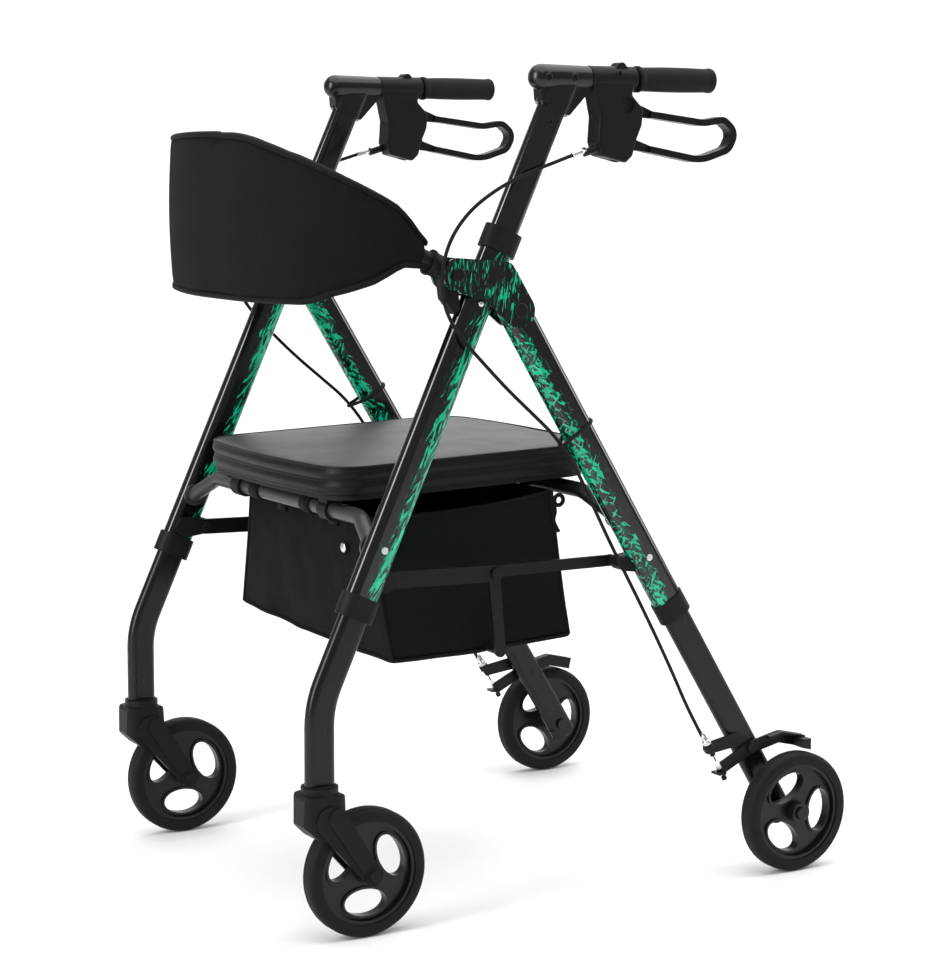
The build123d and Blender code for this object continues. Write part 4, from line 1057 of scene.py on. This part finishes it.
# %% The snap on the front panel
SNAP_PLACE = at(106, -543, 430)
SNAP_PROFILE = [(-0.002, 0.0055), (0.0, 0.0065), (0.0012, 0.0062), (0.002, 0.0045),
                (0.0024, 0.001)]
snap = turned("bag_snap", SNAP_PLACE, (0, -1, 0), SNAP_PROFILE, bright_steel, 32)
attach(snap, "front_frame")
print("snap", round(2 * SNAP_PROFILE[1][1], 4), "wide")

# %% [markdown]
# ## Brake cables
#
# Each cable runs from its lever housing, forward round the outside of the handle tube, down past
# the hinge bracket and along the front face of the rear leg to the brake. It is one smooth line
# led by the same points as the CAD tube. The line is made in three lengths, and each crosses
# one joint: the handle's slide, the fold, and the slide of the rear leg. Each length is a mesh
# lofted through rings round the line.

# %% The cable's route
CABLE_ROUTE = [(263.5, -309, 902.5), (268, -346, 891), (271, -392, 876.5), (272.5, -436, 857),
               (273.5, -473, 831), (274.5, -498, 797), (275.5, -507, 757), (276, -501, 720),
               (276.5, -480, 690), (276, -450, 660), (274, -416, 628), (271, -380, 598),
               (267, -343, 567), (263.5, -313, 528), (262, -287, 480), (262, -260, 430),
               (263.5, -230, 377), (265.5, -200, 322), (268, -172, 267), (270.3, -149, 218),
               (271.5, -127.5, 181.5)]
CABLE_RADIUS = 0.0022


def spline_points(route):
    """Points along the smooth curve that a route leads, from the same curve with no bevel."""
    curve = tube("route", route, 0.0, jacket_rubber)
    curve.data.resolution_u = 14
    line = evaluated_mesh(curve)
    points = [vertex.co.copy() for vertex in line.vertices]
    bpy.data.meshes.remove(line)
    bpy.data.objects.remove(curve)
    return points


def cable_rings(path, segments=16):
    """A ring of points square to the path at each of its points."""
    rings = []
    for i, point in enumerate(path):
        ahead = (path[min(i + 1, len(path) - 1)] - path[max(i - 1, 0)]).normalized()
        side = (Vector((1, 0, 0)) - ahead * ahead.x).normalized()
        up = ahead.cross(side)
        rings.append([point + CABLE_RADIUS * (side * cos(turn) + up * sin(turn))
                      for turn in (2 * pi * k / segments for k in range(segments))])
    return rings


# %% Fittings at a cable's ends
ADJUSTER_LEAN = radians(29.79)
ADJUSTER_X, ADJUSTER_Y, ADJUSTER_Z = 271.5, -117.31, 168.0
FERRULE_PROFILE = [(0, 0.003), (0, 0.0044), (0.009, 0.0044), (0.011, 0.0036), (0.019, 0.0034),
                   (0.020, 0.0024)]
SLEEVE_PROFILE = [(0, 0.0036), (0, 0.0054), (0.0016, 0.0056), (0.0060, 0.0056), (0.0066, 0.0050),
                  (0.0068, 0.0042), (0.0150, 0.0042), (0.0175, 0.003), (0.0185, 0.0024)]
TIP_PROFILE = [(0, 0.001), (0, 0.0029), (0.010, 0.0029), (0.0115, 0.0012)]


def on_adjuster(sign, along):
    """A place on the adjuster's axis; along is millimetres up from its middle."""
    return at(sign * ADJUSTER_X, ADJUSTER_Y - along * sin(ADJUSTER_LEAN),
              ADJUSTER_Z + along * cos(ADJUSTER_LEAN))


# %% The cables in three lengths
HINGE_LEVEL, SEAT_LEVEL = 0.755, 0.50  # heights where a cable's lengths meet
FOLD_START, FOLD_END = (275, -500, 735), (275, -385, 600)

for side, sign in SIDES:
    route = [at(sign * x, y, z) for x, y, z in CABLE_ROUTE]
    path = spline_points(route)
    rings = cable_rings(path)
    place, heading = route[0].lerp(route[1], 0.18), (route[1] - route[0]).normalized()
    ferrule = turned(f"cable_ferrule_{side}", place - heading * 0.010, heading, FERRULE_PROFILE,
                     bright_steel, 24)
    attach(ferrule, f"handle_{side}")
    up = (on_adjuster(sign, 1) - on_adjuster(sign, 0)).normalized()
    sleeve = turned(f"adjuster_sleeve_{side}", on_adjuster(sign, 4.2), up, SLEEVE_PROFILE,
                    bright_steel, 24)
    tip = turned(f"adjuster_tip_{side}", on_adjuster(sign, -34), up, TIP_PROFILE, white_plastic, 24)
    for piece in (sleeve, tip):
        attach(piece, f"rear_extension_{side}")
    at_hinge = next(i for i, point in enumerate(path) if point.z < HINGE_LEVEL)
    at_seat = next(i for i, point in enumerate(path) if point.z < SEAT_LEVEL)
    last = len(path) - 1
    fold_start, fold_end = (at(sign * x, y, z) for x, y, z in (FOLD_START, FOLD_END))
    lengths = (
        ("upper", 0, at_hinge, f"handle_{side}", "front_frame", path[0], path[at_hinge], [ferrule]),
        ("middle", at_hinge, at_seat, "front_frame", "rear_frame", fold_start, fold_end, []),
        ("lower", at_seat, last, "rear_frame", f"rear_extension_{side}",
         path[at_seat], path[last], [sleeve]),
    )
    for label, first, end, body, next_body, blend_start, blend_end, fittings in lengths:
        cable = loft(f"cable_{label}_{side}", rings[first:end + 1], jacket_rubber)
        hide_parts(f"brake_cable_{side}")
        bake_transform(cable)

# %% Bright buttons of the handle tubes
BUTTON_X = 0.2687
BUTTON_DROP = 0.0466  # below the apex, along the front leg
BUTTON_PROFILE = [(0, 0.0036), (0.0009, 0.0036), (0.0017, 0.003), (0.0021, 0.0018),
                  (0.0023, 0.0004)]

for side, sign in SIDES:
    place = APEX + Vector((sign * BUTTON_X, -BUTTON_DROP * sin(FRONT_LEAN),
                           -BUTTON_DROP * cos(FRONT_LEAN)))
    button = turned(f"handle_button_{side}", place, (sign, 0, 0), BUTTON_PROFILE, bright_steel, 24)
    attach(button, "front_frame")
    print(button.name, "at", tuple(round(value, 4) for value in place))

# %% [markdown]
# ## The cable tie on the rear leg
#
# A rubber ring holds the cable against the rear leg just above the seat. It lies square to the leg,
# runs close round its flat sides and reaches forward to hold the cable in its narrow end. A torus
# would be round, so this is a tube on a closed line of chosen points.

# %% Rear-leg rings
RING_OUTLINE = ((21.5, 0), (18.5, 8.5), (11, 11.9), (-8, 12.1), (-20, 12.2), (-29, 14.5),
                (-36, 10.5), (-32, 5), (-20, -7), (-12, -11.9), (6, -12.1), (13, -11.9),
                (18.5, -8.5))
RING_DROP = 0.2305  # below the apex, along the rear leg
RING_X = 256.5
RING_RADIUS = 0.0023
along_leg = Vector((0, sin(REAR_LEAN), cos(REAR_LEAN)))
across = Vector((0, cos(REAR_LEAN), -sin(REAR_LEAN)))

for side, sign in SIDES:
    centre = APEX - along_leg * RING_DROP
    outline = [centre + across * (u / 1000) + Vector((sign * (RING_X + v) / 1000, 0, 0))
               for u, v in RING_OUTLINE]
    ring = tube(f"cable_ring_{side}", outline, RING_RADIUS, jacket_rubber, cyclic=True)
    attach(ring, "rear_frame")
    print(ring.name, "at height", round(centre.z, 4))

# %% [markdown]
# ## Floor, light and camera
#
# A pale floor that curves up behind the walker, one large soft light overhead and a narrow one at
# each side give an even, almost shadowless light, with thin bright lines along the glossy tubes.
# The floor is turned square to the camera, so that its raised end fills the background.

# %% Floor and backdrop
FLOOR_TURN = radians(59.5)
FLOOR_PROFILE = ((-3.0, 0), (0, 0), (2.2, 0), (3.2, 0.15), (3.8, 0.8), (4.0, 2.0), (4.0, 5.0))
floor_finish = Finish("pale_floor", (0.86, 0.86, 0.86), 0.7)
floor_finish.colour(floor_finish.mix(floor_finish.noise(2.0), (0.85, 0.85, 0.85),
                                     (0.88, 0.88, 0.88)))
sweep_rows = [[Vector((x, y, z - 0.0005)) for x in (-7, -3, 3, 7)] for y, z in FLOOR_PROFILE]
floor = loft("floor", sweep_rows, floor_finish.material, closed=False, caps=False)
floor.matrix_world = Matrix.Rotation(FLOOR_TURN, 4, "Z")
print("floor faces", len(floor.data.polygons))


# %% Lights
def area_light(name, place, target, size, watts):
    data = bpy.data.lights.new(name, "AREA")
    data.shape = "RECTANGLE"
    data.size, data.size_y = size
    data.energy = watts
    lamp = bpy.data.objects.new(name, data)
    bpy.context.scene.collection.objects.link(lamp)
    lamp.location = place
    lamp.rotation_euler = (Vector(target) - Vector(place)).to_track_quat("-Z", "Y").to_euler()


area_light("overhead", (0.0, 0.4, 4.2), (-0.3, 0.3, 0.0), (6.0, 6.0), 270)
area_light("window_left", (0.6, -3.6, 1.8), (0, 0, 0.5), (1.0, 2.8), 110)
area_light("window_right", (1.2, 3.8, 1.9), (0, 0, 0.5), (1.4, 2.4), 60)
world = bpy.data.worlds.new("studio")
world.use_nodes = True
world.node_tree.nodes["Background"].inputs["Color"].default_value = (1, 1, 1, 1)
world.node_tree.nodes["Background"].inputs["Strength"].default_value = 0.3
bpy.context.scene.world = world
bpy.context.scene.view_settings.view_transform = "Standard"
print("lights:", len(bpy.data.lights))

# %% Camera
AZIMUTH, ELEVATION, ROLL = radians(59.501), radians(7.629), radians(0.208)
camera_data = bpy.data.cameras.new("camera")
camera_data.sensor_width = 36
camera_data.lens = 90.09259  # millimetres, a long lens some three metres away
camera_data.shift_x = 0.00493
camera_data.shift_y = -0.00727
camera = bpy.data.objects.new("camera", camera_data)
bpy.context.scene.collection.objects.link(camera)
camera.location = at(2662.28, -1887.82, 899.71)
back = Vector((sin(AZIMUTH) * cos(ELEVATION), -cos(AZIMUTH) * cos(ELEVATION), sin(ELEVATION)))
level = Vector((0, 0, 1)).cross(back).normalized()
up = back.cross(level)
right = cos(ROLL) * level + sin(ROLL) * up
up = -sin(ROLL) * level + cos(ROLL) * up
camera.rotation_euler = Matrix((right, up, back)).transposed().to_euler()
bpy.context.scene.camera = camera
print("camera at", tuple(round(value, 3) for value in camera.location))
